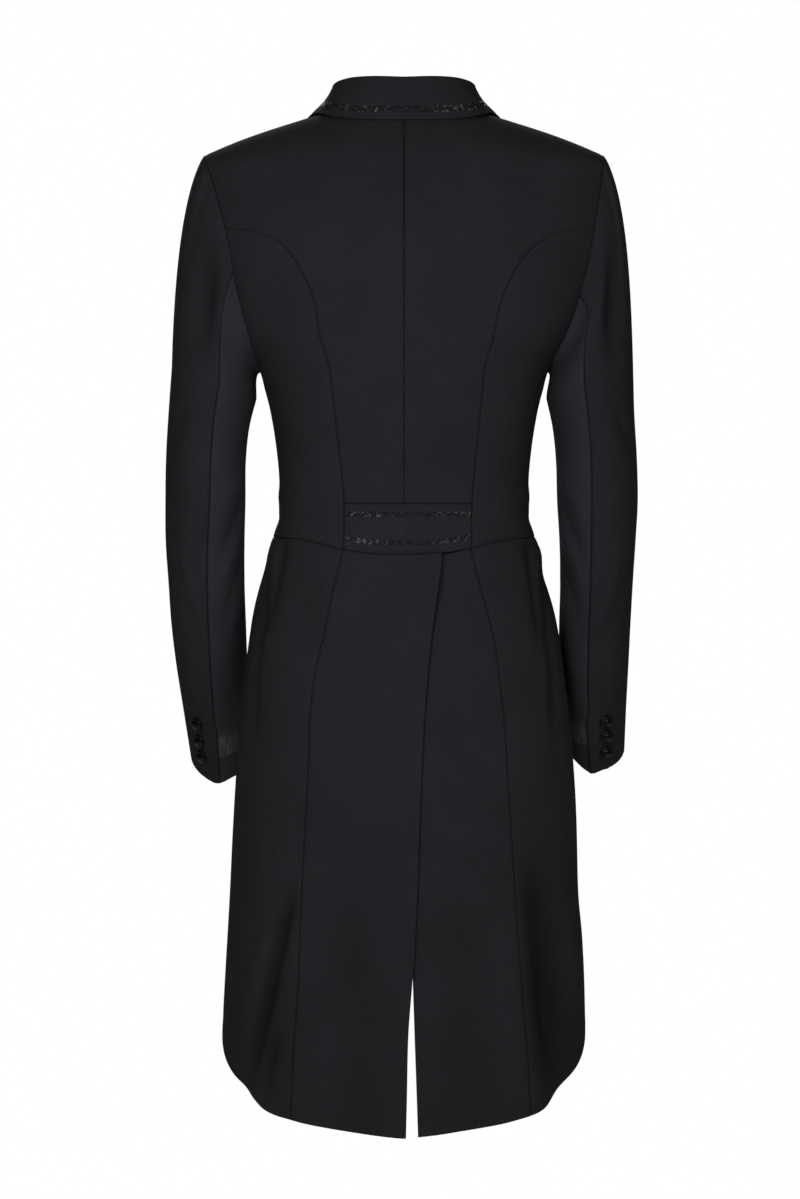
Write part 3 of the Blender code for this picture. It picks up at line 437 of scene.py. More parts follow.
def between(inner, outer, cells):
    """Rows of cloth from an inner edge to an outer one, straight in angle and height."""
    share = shares(cells)[None, :, None]
    return inner[:, None] * (1 - share) + outer[:, None] * share


def to_waist(rows, ease=2):
    """The rows with their last one laid on the waist seam, and the others eased towards it."""
    share = np.linspace(0, 1, len(rows))[:, None] ** ease
    rows = rows.copy()
    rows[..., 1] += share * (waist_at(rows[-1, :, 0]) - rows[-1, :, 1])
    return rows


def blunt(edge):
    """An edge whose first point is drawn a little way in from a sharp corner."""
    edge = edge.copy()
    edge[0] = edge[0] * (1 - BLUNT) + edge[1] * BLUNT
    return edge


def waist_at(theta):
    """How far down the waist seam is at an angle from the middle of the back."""
    return read(WAIST_SEAM, "down", np.abs(theta), "angle")


def lengths(points, axis):
    """How far each point of a grid lies along its line from the grid's start, the sum of the steps."""
    steps = np.linalg.norm(np.diff(points, axis=axis), axis=-1)
    start = np.zeros_like(np.take(steps, [0], axis=axis))
    return np.concatenate([start, np.cumsum(steps, axis=axis)], axis=axis)


def normals_of(points, away):
    """The unit normals of a grid, the cross product of its two slopes, turned to the side of away."""
    normals = unit(np.cross(np.gradient(points, axis=0), np.gradient(points, axis=1)))
    return normals * np.where((normals * away).sum(-1) < 0, -1, 1)[..., None]


def drawn_in(points, ease):
    """The grid of points with its four edges moved in by ease (top, foot, first and last), square to them."""
    points = points.copy()
    edges = points[0], points[-1], points[:, 0], points[:, -1]
    insides = points[1], points[-2], points[:, 1], points[:, -2]
    for edge, inside, distance in zip(edges, insides, ease):
        run = unit(np.gradient(edge, axis=0))
        inward = inside - edge
        edge += unit(inward - (inward * run).sum(-1, keepdims=True) * run) * distance
    return points


def close_rows(grid, axis):
    """The grid with more lines close beside its first and last ones, at shares of the outermost cells."""
    grid = np.moveaxis(grid, axis, 0)
    first = [grid[0] * (1 - t) + grid[1] * t for t in BESIDE_EDGE]
    last = [grid[-1] * (1 - t) + grid[-2] * t for t in BESIDE_EDGE[::-1]]
    grid = np.concatenate([grid[:1], first, grid[1:-1], last, grid[-1:]])
    return np.moveaxis(grid, 0, axis)


def seam_depth(points, edges):
    """How deep in a seam each point of a grid lies: 1 at its seamed edges, a bell of distance off them."""
    across, along = lengths(points, 1), lengths(points, 0)
    from_edge = {"top": along, "foot": along[-1:] - along, "first": across, "last": across[:, -1:] - across}
    return np.max([bell(from_edge[edge], ROLL_WIDTH) for edge in edges] + [0 * across], axis=0)


surfaces = {}


def put_in(name, data):
    """A new object of the scene that shows the data."""
    thing = bpy.data.objects.new(name, data)
    bpy.context.scene.collection.objects.link(thing)
    return thing


def make_mesh(name, points, faces, material, slot=None, node=None):
    """A smooth mesh of points and faces. With a slot it rides the body, with a node it stands for that."""
    mesh = bpy.data.meshes.new(name)
    mesh.from_pydata(points.reshape(-1, 3), [], faces)
    mesh.shade_smooth()
    mesh.materials.append(material)
    piece = put_in(name, mesh)
    if node:
        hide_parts(node)
    if slot:
        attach(piece, "root")
    return piece


def quads(rows, columns):
    """The four corners of each cell of a grid, counted row by row."""
    corner = np.arange(rows * columns).reshape(rows, columns)
    cells = np.stack([corner[:-1, :-1], corner[1:, :-1], corner[1:, 1:], corner[:-1, 1:]], axis=-1)
    return cells.reshape(-1, 4)


def cloth(node, points, away, material, slot="coat_cloth", thickness=CLOTH,
          ease=(SEAM_EASE,) * 4, seams=("top", "foot", "first", "last"), folds=0.0):
    """A shell of cloth that stands for a node: a grid on points, its seamed edges rolled in, walled evenly.

    Shade is painted into its colour: darker in the seams and in the hollows of the folds, which are given as
    heights, hollows negative.
    """
    hollow = np.broadcast_to(np.clip(-folds / HOLLOW_DEPTH, 0, 1), points.shape[:2])
    points = drawn_in(points, ease)
    points, away, hollow = (close_rows(close_rows(grid, 0), 1) for grid in (points, away, hollow))
    normals = normals_of(points, away)
    sunk = seam_depth(points, seams)
    points = points - normals * (ROLL_DEPTH * sunk)[..., None]
    # painted shade: the colour darkens in the seams and in the hollows of the folds, kept in the shade
    # attribute
    shade = np.maximum(SEAM_PAINTED_SHADE * sunk, HOLLOW_SHADE * hollow).astype(np.float32)
    surfaces[node] = (points + normals * thickness / 2, normals)
    uv = np.stack([lengths(points, 1), lengths(points, 0)], axis=-1)
    faces = quads(*points.shape[:2])
    piece = make_mesh(f"{node}_cloth", points, faces, material, slot, node)
    piece.data.uv_layers.new(name="cloth").data.foreach_set("uv", uv.reshape(-1, 2)[faces.ravel()].ravel())
    piece.data.attributes.new("shade", "FLOAT", "POINT").data.foreach_set("value", shade.ravel())
    solidify = piece.modifiers.new("wall", "SOLIDIFY")
    solidify.thickness = thickness
    solidify.offset = 0


def around(points):
    """The way out from the coat's upright axis, for pieces on the body."""
    return points * (1, 1, 0)


def armhole_turn(down):
    """The angle round the armhole at a height."""
    return np.arccos(1 - 2 * (down - SHOULDER) / (UNDERARM - SHOULDER))


def armhole(phi, side):
    """The armhole as angle round the form and height, at turns phi: 0 on the shoulder, 180 degrees under.

    The height falls as a cosine. The back's edge is read for phi under 180 degrees, else the front's.
    """
    down = SHOULDER + (UNDERARM - SHOULDER) * (1 - np.cos(phi)) / 2
    behind = back_angle(read(BACK_ARMHOLE, SIDE_NAMES[side], down), down)
    before = front_angle(read(FRONT_ARMHOLE, "both", down), down)
    return np.stack([np.where(np.sin(phi) >= -TINY, behind, before), down], axis=-1)


BACK_TURN = armhole_turn(SEAM_MEETS_ARMHOLE)
FRONT_TURN = 2 * np.pi - armhole_turn(FRONT_SEAM_MEETS_ARMHOLE)
UPPER_BACK = np.linspace(0, BACK_TURN, UPPER_BACK_CELLS + 1)
LOWER_BACK = np.linspace(BACK_TURN, np.pi, LOWER_BACK_CELLS + 1)
LOWER_FRONT = np.linspace(np.pi, FRONT_TURN, LOWER_FRONT_CELLS + 1)
UPPER_FRONT = np.linspace(FRONT_TURN, 2 * np.pi, UPPER_FRONT_CELLS + 1)


def shoulder_edge():
    """The shoulder seam, along the ridge of the form from the neck to the shoulder point."""
    return evenly(np.full(len(SHOULDER_ROWS), np.pi / 2), SHOULDER_ROWS, SHOULDER_CELLS)


def curved_seam(side):
    """The curved back seam from the armhole to the top of the tab."""
    start = armhole(BACK_TURN, side)
    seam = CURVED_SEAM[side]
    theta = np.concatenate([[start[0]], back_angle(seam["out"], seam["down"])])
    down = np.concatenate([[start[1]], seam["down"]])
    return evenly(theta, down, LOWER_BACK_CELLS + SIDE_SEAM_CELLS - TAB_CELLS)


def tab_side(side):
    """The side of the tab, from its top to the waist seam."""
    top = curved_seam(side)[-1]
    theta = back_angle(TAB_SIDE[side], TAB_WAIST)
    share = shares(TAB_CELLS)[:, None]
    return top * (1 - share) + np.array([theta, waist_at(theta)]) * share


def side_seam():
    """From the underarm straight down to the waist seam."""
    foot = np.array([SIDE_SEAM_FOOT, waist_at(SIDE_SEAM_FOOT)])
    share = shares(SIDE_SEAM_CELLS)[:, None]
    return np.array([np.pi / 2, UNDERARM]) * (1 - share) + foot * share


def front_seam(side):
    """The curved front seam from the armhole to the waist."""
    start = armhole(FRONT_TURN, side)
    theta = np.concatenate([[start[0]], FRONT_SEAM["angle"]])
    down = np.concatenate([[start[1]], FRONT_SEAM["down"]])
    return evenly(theta, down, LOWER_FRONT_CELLS + SIDE_SEAM_CELLS)


def front_lift(side, x):
    """The right front laps over the left one along the middle."""
    return -side * LAP * fade(side * x, *FRONT_LAP)


def drag_folds(rows, turn, down):
    """The height of drag folds: each is a bell across its line, faded at the line's ends."""
    relief = 0 * down
    for turn_a, down_a, turn_b, down_b, half_width, depth in rows:
        share = (np.degrees(turn) - turn_a) / (turn_b - turn_a)
        line = (down_a + (down_b - down_a) * share) * MM
        reach = fade(share, *FOLD_ENDS) * fade(1 - share, *FOLD_ENDS)
        relief = relief + depth * MM * reach * bell(down - line, half_width * MM)
    return relief


def on_body(side, rows, lift=0):
    """Points of the body's cloth on one side, with its folds."""
    theta, down = rows[..., 0], rows[..., 1]
    return on_form(side, theta, down, lift + drag_folds(BODY_FOLDS, theta, down))


def make_backs(side, material):
    """Centre back and side back of one side."""
    name = SIDE_NAMES[side]
    seam = curved_seam(side)
    outer = joined(shoulder_edge(), armhole(UPPER_BACK, side), seam)
    down = np.interp(np.arange(len(outer)), MIDDLE_ROWS["cell"], MIDDLE_ROWS["down"])
    points = on_body(side, between(np.stack([0 * down, down], axis=-1), outer, ACROSS["back_centre"]))
    cloth(f"back_centre_{name}", points, around(points), material)
    inner = blunt(joined(seam, tab_side(side)))
    outer = blunt(joined(armhole(LOWER_BACK, side), side_seam()))
    points = on_body(side, to_waist(between(inner, outer, ACROSS["back_side"])))
    cloth(f"back_side_{name}", points, around(points), material)


def make_tab(material):
    """The waist tab, let in between the two curved seams."""
    rows = to_waist(between(tab_side(RIGHT) * (-1, 1), tab_side(LEFT), ACROSS["waist_tab"]), 1)
    points = on_form(LEFT, rows[..., 0], rows[..., 1], 0)
    cloth("waist_tab", points, around(points), material)


def make_fronts(side, material):
    """Side front and front of one side, down to the waist's point."""
    name = SIDE_NAMES[side]
    seam = front_seam(side)
    outer = blunt(joined(armhole(LOWER_FRONT, side)[::-1], side_seam()))
    points = on_body(side, to_waist(between(blunt(seam), outer, ACROSS["front_side"])))
    cloth(f"front_side_{name}", points, around(points), material)
    outer = blunt(joined(shoulder_edge(), armhole(UPPER_FRONT, side)[::-1], seam))
    theta = np.concatenate([[np.pi / 2], front_angle(FRONT_EDGE["out"], FRONT_EDGE["down"])])
    down = np.concatenate([[0], FRONT_EDGE["down"]])
    inner = blunt(evenly(theta, down, len(outer) - 1))
    rows = to_waist(between(outer, inner, ACROSS["front"]))
    x = form(rows[..., 0], rows[..., 1])[..., 0] * side
    points = on_body(side, rows, front_lift(side, x))
    cloth(f"front_{name}", points, around(points), material,
          seams=("top", "first"))


def make_lapel(side, material):
    """A lapel, laid out from the roll line over the front."""
    name = SIDE_NAMES[side]
    down = np.linspace(LAPEL_TOP, LAPEL_END, LAPEL_CELLS + 1)[:, None]
    share = shares(ACROSS["lapel"])[None, :]
    out = read(ROLL_LINE, "out", down) * (1 - share) + read(LAPEL_EDGE, "out", down) * share
    down = down + 0 * share
    lift = LAPEL_LIFT + LAPEL_SPRING * np.sin(LAPEL_BEND * share) + front_lift(side, side * out)
    points = on_form(side, front_angle(out, down), down, lift)
    cloth(f"lapel_{name}", points, around(points), material,
          seams=())


def tail_relief(x, down):
    """The height of the tails' folds: each is a bell across its line, eased in and out at the line's ends."""
    relief = 0 * x
    for top_x, top, foot_x, foot, half_width, depth, ease in zip(*TAIL_FOLDS.values()):
        share = (down - top) / (foot - top)
        centre = top_x + (foot_x - top_x) * share
        reach = fade(down, top + ease, top) * fade(down, foot - ease, foot + ease)
        relief = relief + depth * reach * bell(x - centre, half_width)
    return relief


def tail_lap(x, down, side):
    """The left tail laps over the right one at the vent, and stands a little open there."""
    lap = side * LAP * fade(x, *VENT_LAP[side])
    from_vent = x - read(VENT_EDGE, "left", down)
    if side == LEFT:
        near = bell(down - VENT_OPEN["down"], VENT_OPEN["half_length"])
        gape = VENT_OPEN["edge"] + VENT_OPEN["lift"] * near
    else:
        gape = -VENT_OPEN["under"]
    return lap + gape * bell(from_vent, VENT_OPEN["half_width"])


def make_tail(kind, first, last, side, material, seams):
    """A tail piece between two edges, given as angles by height, from the waist seam to the hem."""
    share = shares(ACROSS[kind])[None, :]
    fall = shares(TAIL_CELLS)[:, None]
    down = TAIL_GUESS + 0 * share * fall
    for _ in range(TAIL_PASSES):
        theta = first(down) * (1 - share) + last(down) * share
        top = waist_at(theta)
        down = top + fall * (read(HEM, "down", np.abs(theta), "angle") - top)
    x = form(theta, down)[..., 0]
    folds = tail_relief(x, down)
    points = on_form(LEFT, theta, down, tail_lap(x, down, side) + folds)
    cloth(f"{kind}_{SIDE_NAMES[side]}", points, around(points), material, seams=seams,
          folds=folds)


def make_tails(side, material):
    """The centre tail, from the vent to the seam, and the side tail, round to its free front edge."""
    name = SIDE_NAMES[side]

    def at(rows):
        return lambda down: back_angle(side * read(rows, name, down), down)

    def front(down):
        return side * read(TAIL_FRONT_EDGE, "angle", down)

    seam = at(TAIL_SEAM)
    make_tail("tail_centre", at(VENT_EDGE), seam, side, material, ("top", "last"))
    make_tail("tail_side", seam, front, side, material, ("top", "first"))


def down_arm(fall, side):
    """How far down the coat a row of the sleeve is: fall 0 below the cap, 1 at the hem."""
    return SLEEVE_TOP + fall * (HEM_OF_SLEEVE[side] - SLEEVE_TOP)


def arm_point(phi, fall, side):
    """The sleeve below the cap: an oval across the arm, pitched forward; phi 0 outside, 90 degrees behind."""
    down = down_arm(fall, side)
    name = SIDE_NAMES[side]
    outer, inner = read(SLEEVE, f"{name}_outer", down), read(SLEEVE, f"{name}_inner", down)
    deep = read(SLEEVE, "half_depth", down) * np.sin(phi)
    pitch = read(SLEEVE, "angle", down)
    x = (outer + inner) / 2 + (outer - inner) / 2 * np.cos(phi)
    y = read(SLEEVE, "middle", down) + deep * np.cos(pitch)
    z = read(SLEEVE, "inner_drop", down) / 2 * np.cos(phi) - down - deep * np.sin(pitch)
    return np.stack([side * x, y, z], axis=-1)


def by_quarter(phi, vectors, side):
    """A vector for each angle, mixed from those at the top, back, underarm and front."""
    cosine, sine = np.cos(phi)[..., None], np.sin(phi)[..., None]
    top, back, under, front = vectors * (side, 1, 1)
    return (np.maximum(cosine, 0) ** 2 * top + np.maximum(sine, 0) ** 2 * back
            + np.minimum(cosine, 0) ** 2 * under + np.minimum(sine, 0) ** 2 * front)


def sleeve_point(phi, fall, side):
    """The whole sleeve: fall -1 at the armhole, 0 below the cap, 1 at the hem; the cap is a cubic."""
    ring = armhole(phi, side)
    start = form(side * ring[..., 0], ring[..., 1])
    finish = arm_point(phi, 0 * phi, side)
    leave = start + by_quarter(phi, CAP_START, side)
    arrive = finish + by_quarter(phi, CAP_END, side)
    t = np.clip(fall + 1, 0, 1)[..., None]
    cap = (1 - t) ** 3 * start + 3 * t * (1 - t) ** 2 * leave + 3 * t * t * (1 - t) * arrive + t ** 3 * finish
    arm = arm_point(phi, np.maximum(fall, 0), side)
    return np.where((fall < 0)[..., None], cap, arm)


def sleeve_relief(phi, fall, side, lap=0):
    """Folds and dents of the sleeve, and the cuff's vent, whose edge stands out (lap 1) or lies in (-1)."""
    down = down_arm(fall, side)
    relief = drag_folds(ELBOW_FOLDS, phi, down)
    for turn, row, half_turn, half_row, depth in CAP_DENTS[side]:
        relief = relief + depth * MM * bell(np.degrees(phi) - turn, half_turn) * bell(fall - row, half_row)
    from_seam = (smooth(fall, SLEEVE_SEAM_ROWS, BACK_SEAM[side]) - phi) * read(SLEEVE, "half_depth", down)
    return relief + CUFF_VENT_LIFT * lap * bell(from_seam, CUFF_VENT_WIDTH) * vent_open(fall)


def vent_open(fall):
    """How far the cuff's vent is open at each row, from 0 above it to 1."""
    return fade(fall, CUFF_VENT + CUFF_VENT_EASE, CUFF_VENT)


def on_sleeve(phi, fall, side, lift, lap):
    """Points of the sleeve and the way out from its middle, the points moved out by lift."""
    def surface(turn, row):
        return sleeve_point(turn, row, side)

    points = surface(phi, fall)
    away = points - (points + surface(phi + np.pi, fall)) / 2
    normal = outward(surface, phi, fall, SLEEVE_STEPS)
    normal *= np.where((normal * away).sum(-1) < 0, -1, 1)[..., None]
    return points + normal * (lift + sleeve_relief(phi, fall, side, lap))[..., None], away


def sleeve_columns(side):
    """The turns round the armhole at which the top sleeve's and the under sleeve's columns start."""
    turns = joined(UPPER_BACK, LOWER_BACK, LOWER_FRONT, UPPER_FRONT)
    back = UPPER_BACK_CELLS + BACK_SEAM_CELL[side]
    front = UPPER_BACK_CELLS + LOWER_BACK_CELLS + LOWER_FRONT_CELLS
    return np.concatenate([turns[front:] - 2 * np.pi, turns[1:back + 1]]), turns[back:front + 1]


def sleeve_grid(columns, fall, start, finish):
    """Turns round the arm at each row, spread between two seams as the columns are spread at the armhole."""
    share = ((columns - columns[0]) / (columns[-1] - columns[0]))[None, :]
    phi = start[:, None] * (1 - share) + finish[:, None] * share
    return phi, fall[:, None] + 0 * phi


def to_cuff_hem(phi, fall, side):
    """The rows with the last ones slid along the arm to the cuff's slanted hem, pointed at its vent."""
    point = CUFF_POINT * bell(phi - BACK_SEAM[side][-1], CUFF_POINT_WIDTH)
    drop = read(CUFF_HEM[side], "drop", phi, "angle") + point
    return fall + fade(fall, 1, BAND_ROWS[1]) * drop / (HEM_OF_SLEEVE[side] - SLEEVE_TOP)


def seam_turns(rows, side):
    """The turns round the arm of the back seam and of the front seam at each row."""
    return smooth(rows, SLEEVE_SEAM_ROWS, BACK_SEAM[side]), smooth(rows, SLEEVE_SEAM_ROWS, FRONT_SEAM_ROUND)


def make_sleeve(side, coat, stretch):
    """Top sleeve and under sleeve, set in a little way out from the body's armhole."""
    name = SIDE_NAMES[side]
    top, under = sleeve_columns(side)
    rows = joined(np.linspace(-1, 0, CAP_CELLS + 1), np.linspace(0, BAND_ROWS[0], ARM_CELLS + 1),
                  np.linspace(*BAND_ROWS, BAND_CELLS + 1), np.linspace(BAND_ROWS[1], 1, FINE + 1))
    back, front = seam_turns(rows, side)
    over = back + CUFF_VENT_OVER / read(SLEEVE, "half_depth", HEM_OF_SLEEVE[side]) * vent_open(rows)
    for piece, columns, start, finish, lap, material, slot in (
            ("top_sleeve", top, front - 2 * np.pi, over, 1, coat, "coat_cloth"),
            ("under_sleeve", under, back, front, -1, stretch, "stretch_cloth")):
        phi, fall = sleeve_grid(columns, rows, start, finish)
        slope = 3 * np.linalg.norm(by_quarter(columns, CAP_START, side), axis=-1)
        fall = np.where(fall < 0, fall - fall * ARMHOLE_EASE / slope, fall)
        points, away = on_sleeve(phi, to_cuff_hem(phi, fall, side), side, 0, lap)
        cloth(f"{piece}_{name}", points, away, material, slot,
              ease=(0, SEAM_EASE, SLEEVE_EASE, SLEEVE_EASE), seams=("top", "first", "last"),
              folds=sleeve_relief(phi, fall, side))


def make_cuff(side, band_material, button_material):
    """The ribbed band round the under sleeve, and the three buttons beside the cuff's vent."""
    name = SIDE_NAMES[side]
    rows = np.linspace(*BAND_ROWS, BAND_CELLS + 1)
    phi, fall = sleeve_grid(sleeve_columns(side)[1], rows, *seam_turns(rows, side))
    fall = fall - BAND_SLANT * np.linspace(0, 1, len(rows))[:, None] * fade(phi, *BAND_SLANT_TURNS)
    points, away = on_sleeve(phi, fall, side, BAND_LIFT * fade(rows, *BAND_TOP)[:, None], -1)
    cloth(f"cuff_band_{name}", points, away, band_material, "ribbed_cloth",
          BAND_CLOTH, ease=(0, 0, BAND_MARGIN, BAND_MARGIN),
          seams=("foot", "first", "last"))
    turn, falls = CUFF_BUTTONS[side]

    def above(row, lift):
        return on_sleeve(np.radians([turn]), np.array([row]), side, lift, 1)[0][0]

    make_buttons(f"cuff_button_{name}", CUFF_BUTTON, above, falls, button_material)


def make_front_buttons(material):
    """Three buttons down the middle of the right front."""
    def above(down, lift):
        return on_form(RIGHT, np.array([np.pi]), np.array([down]), LAP + lift)[0]

    make_buttons("front_button", FRONT_BUTTON, above, FRONT_BUTTONS, material)


def make_buttons(kind, size, above, places, material):
    """A row of buttons: above(place, lift) is the point at a place, lifted square from the cloth's middle."""
    for number, place in enumerate(places, 1):
        foot = above(place, CLOTH / 2 + BUTTON_STANDOFF)
        make_button(f"{kind}_{number}", size / 2, foot, above(place, size) - foot, material)


def make_button(node, radius, foot, direction, material):
    """A domed button with a ring sunk inside its rim: a profile turned about direction, both poles closed."""
    share = np.linspace(0, 1, BUTTON_RINGS)
    profile = smooth(share, np.linspace(0, 1, len(BUTTON_PROFILE)), BUTTON_PROFILE)
    profile = profile * radius * (1, 2 * BUTTON_DOME)
    turn = np.linspace(0, 2 * np.pi, BUTTON_SIDES, endpoint=False)[:, None]
    up = unit(direction)
    across = unit(np.cross(up, (0, 0, 1)))
    ring = np.cos(turn) * across + np.sin(turn) * np.cross(up, across)
    points = foot + profile[1:-1, None, :1] * ring + profile[1:-1, None, 1:] * up
    corner = np.arange(points.size // 3).reshape(-1, BUTTON_SIDES)
    after = np.roll(corner, -1, axis=1)
    sides = np.stack([corner[:-1], after[:-1], after[1:], corner[1:]], axis=-1).reshape(-1, 4)
    poles = np.full((2, BUTTON_SIDES), corner.size) + [[0], [1]]
    ends = np.concatenate([np.stack([after[0], corner[0], poles[0]], axis=-1),
                           np.stack([corner[-1], after[-1], poles[1]], axis=-1)])
    points = np.concatenate([points.reshape(-1, 3), [foot, foot + profile[-1, 1] * up]])
    make_mesh(f"{node}_domed", points, sides.tolist() + ends.tolist(), material, "button_gloss", node)


def rim(back, front):
    """An edge of the collar from the middle of the back round to its front end, cut into equal lengths."""
    theta = np.concatenate([back["angle"], front_angle(front["out"], front["down"])])
    return evenly(theta, np.concatenate([back["down"], front["down"]]), COLLAR_CELLS)


def make_collar(material):
    """The collar: a stand that rises from the neckline, folds over and falls to its edge on the coat."""
    neck = rim(NECKLINE_BACK, {name: column[:3] for name, column in FRONT_EDGE.items()})
    edge = rim(COLLAR_EDGE_BACK, COLLAR_EDGE_FRONT)
    share = shares(COLLAR_CELLS)
    height, lean, inset, spring = (read(COLLAR_STAND, name, share, "share")[:, None]
                                   for name in ("height", "lean", "inset", "spring"))
    up = np.array([0, 0, 1])
    seam = form(neck[:, 0], neck[:, 1])
    sideways = fade(share, *COLLAR_SIDEWAYS)[:, None]
    out = unit(unit(around(seam)) * (1 - sideways) + np.array([1, 0, 0]) * sideways)
    base = seam - out * inset + up * STAND_EASE
    fold = base + up * height - out * lean
    fall = on_form(LEFT, edge[:, 0], edge[:, 1], COLLAR_LIFT)
    crown = fold + out * COLLAR_FOLD / 2 + up * COLLAR_CROWN
    over = fold + out * COLLAR_FOLD - up * height * COLLAR_DROP
    middle = (over + fall) / 2 + out * spring
    near_fold = base * (1 - COLLAR_NEAR_FOLD) + fold * COLLAR_NEAR_FOLD
    half = np.stack([base, (base + fold) / 2, near_fold, crown, over, middle, fall])
    half = smooth(shares(ACROSS["collar"]), COLLAR_ROWS, half)
    out = np.broadcast_to(out, half.shape) * np.linspace(-1, 1, len(half))[:, None, None]
    points, away = (np.concatenate([grid[:, :0:-1] * (-1, 1, 1), grid], axis=1) for grid in (half, out))
    cloth("collar", points, away, material,
          seams=())


def beside(node, edge, distance):
    """The line on a piece's outer face that runs at a distance beside one of its edges, with its normals."""
    points, normals = surfaces[node]
    if edge in ("top", "foot"):
        points, normals = points.swapaxes(0, 1), normals.swapaxes(0, 1)
    if edge in ("foot", "last"):
        points, normals = points[:, ::-1], normals[:, ::-1]
    reach = lengths(points, 1)
    cell = np.clip((reach < distance).sum(axis=1), 1, reach.shape[1] - 1)
    row = np.arange(len(points))
    t = ((distance - reach[row, cell - 1]) / (reach[row, cell] - reach[row, cell - 1]))[:, None]
    return (points[row, cell - 1] * (1 - t) + points[row, cell] * t,
            unit(normals[row, cell - 1] * (1 - t) + normals[row, cell] * t))


def stations(line, normals, pitch, margin=0.0):
    """Places at equal steps along a line, a margin left at both ends: point, direction and normal."""
    length = lengths(line, 0)
    count = max(2, int((length[-1] - 2 * margin) / pitch))
    places = np.linspace(margin, length[-1] - margin, count)
    point, normal = smooth(places, length, line), unit(smooth(places, length, normals))
    step = pitch * STATION_STEP
    along = unit(smooth(places + step, length, line) - smooth(places - step, length, line))
    return point, along, normal


def make_joined(name, shape, places, material, slot):
    """One mesh with the shape at every place: its x along, its y across, its z out, times that size."""
    corners, faces = shape
    point, along, normal, size = (np.concatenate(part) for part in zip(*places))
    frames = np.stack([along, np.cross(normal, along), normal], axis=1) * size[..., None]
    points = point[:, None] + np.einsum("vk,pkc->pvc", corners, frames)
    faces = faces[None] + len(corners) * np.arange(len(point))[:, None, None]
    return make_mesh(name, points, faces.reshape(-1, 4), material, slot)


def prism(profile, sides):
    """Rings of a profile (place, radius) turned about x, with four-cornered faces round and over the ends."""
    turn = np.linspace(0, 2 * np.pi, sides, endpoint=False)
    points = np.array([(x, r * np.cos(a), r * np.sin(a)) for x, r in profile for a in turn])
    corner = np.arange(len(points)).reshape(len(profile), sides)
    after = np.roll(corner, -1, axis=1)
    side_faces = np.stack([corner[:-1], corner[1:], after[1:], after[:-1]], axis=-1).reshape(-1, 4)
    end = np.array([(0, k, k + 1, k + 2) for k in range(1, sides - 1, 2)])
    return points, np.concatenate([side_faces, corner[0][end], corner[-1][end[:, ::-1]]])


STITCH_SHAPE = prism(STITCH_PROFILE, STITCH_SIDES)


def stitches(node, edge, distance=TOPSTITCH, start=0.0, pitch=STITCH_PITCH, size=STITCH):
    """Places for a row of stitches beside an edge, from a share of its length to its end."""
    line, normals = beside(node, edge, distance)
    first = round(start * (len(line) - 1))
    point, along, normal = stations(line[first:], normals[first:], pitch, pitch)
    return point, along, normal, np.broadcast_to(size, point.shape)


def cuff_mark(side):
    """Places for the short bar of thread across the sleeve above its top button."""
    phi = np.radians(CUFF_BUTTONS[side][0]) + CUFF_MARK_TURNS
    line, away = on_sleeve(phi, CUFF_MARK[side] + 0 * phi, side, CLOTH / 2, 1)
    point, along, normal = stations(line, unit(away), STITCH_PITCH)
    return point, along, normal, np.broadcast_to(STITCH, point.shape)


def make_topstitching(material):
    """Rows of stitches beside the seams, the hems and the collar's edge."""
    above = SHOULDER_CELLS + UPPER_BACK_CELLS
    curve = above / (above + LOWER_BACK_CELLS + SIDE_SEAM_CELLS - TAB_CELLS)
    body = [stitches("back_centre_left", "first"), cuff_mark(LEFT), cuff_mark(RIGHT)]
    tails = []
    for name in SIDE_NAMES.values():
        body.append(stitches(f"back_centre_{name}", "last", start=curve))
        for piece, edge in BODY_STITCHING:
            body.append(stitches(f"{piece}_{name}", edge))
        for piece, edge, distance in TAIL_STITCHING:
            tails.append(stitches(f"{piece}_{name}", edge, distance))
    body.append(stitches("waist_tab", "foot", pitch=BAR_PITCH, size=BAR))
    body.append(stitches("waist_tab", "top", TAB_STITCH))
    body.append(stitches("collar", "foot"))
    make_joined("topstitching_body", STITCH_SHAPE, body, material, "coat_cloth")
    make_joined("topstitching_tails", STITCH_SHAPE, tails, material, "coat_cloth")


def make_stones(name, node, edge, distance, count, material):
    """Rows of faceted stones beside an edge: six-sided, with a girdle and a flat table, a little tilted."""
    shape, faces = prism(STONE_PROFILE, STONE_SIDES)
    places = []
    chance = np.random.default_rng(STONE_SEED)
    for row in range(count):
        line = beside(node, edge, distance + row * STONE_PITCH)
        point, along, normal = stations(*line, STONE_PITCH, STONE_MARGIN)
        normal = unit(normal + chance.normal(0, STONE_TILT, normal.shape))
        along = unit(along - (along * normal).sum(-1, keepdims=True) * normal)
        places.append((point, along, normal, np.full(point.shape, STONE / 2)))
    piece = make_joined(name, (shape[:, [1, 2, 0]], faces), places, material, "button_gloss")
    piece.data.shade_flat()


def new_material(name, roughness, specular):
    """A material of one roughness and specular level, its tree, its shader and its object coordinates."""
    material = bpy.data.materials.new(name)
    material.use_nodes = True
    tree = material.node_tree
    shader = tree.nodes["Principled BSDF"].inputs
    shader["Roughness"].default_value = roughness
    shader["Specular IOR Level"].default_value = specular
    return material, tree, shader, add_node(tree, "ShaderNodeTexCoord").outputs["Object"]


def add_node(tree, kind, inputs=(), **settings):
    """A node of one kind with its settings, each input linked from a socket or set to a value."""
    node = tree.nodes.new(kind)
    for key, value in settings.items():
        setattr(node, key, value)
    for key, value in dict(inputs).items():
        if isinstance(value, bpy.types.NodeSocket):
            tree.links.new(value, node.inputs[key])
        else:
            node.inputs[key].default_value = value
    return node


def math(tree, operation, *values):
    """One sum on one to three values, each a socket or a number."""
    return add_node(tree, "ShaderNodeMath", enumerate(values), operation=operation).outputs[0]


def noise(tree, place, **settings):
    """A noise round a half at a place, by its Scale in waves a metre and its other settings."""
    return add_node(tree, "ShaderNodeTexNoise", {"Vector": place, **settings}).outputs["Fac"]


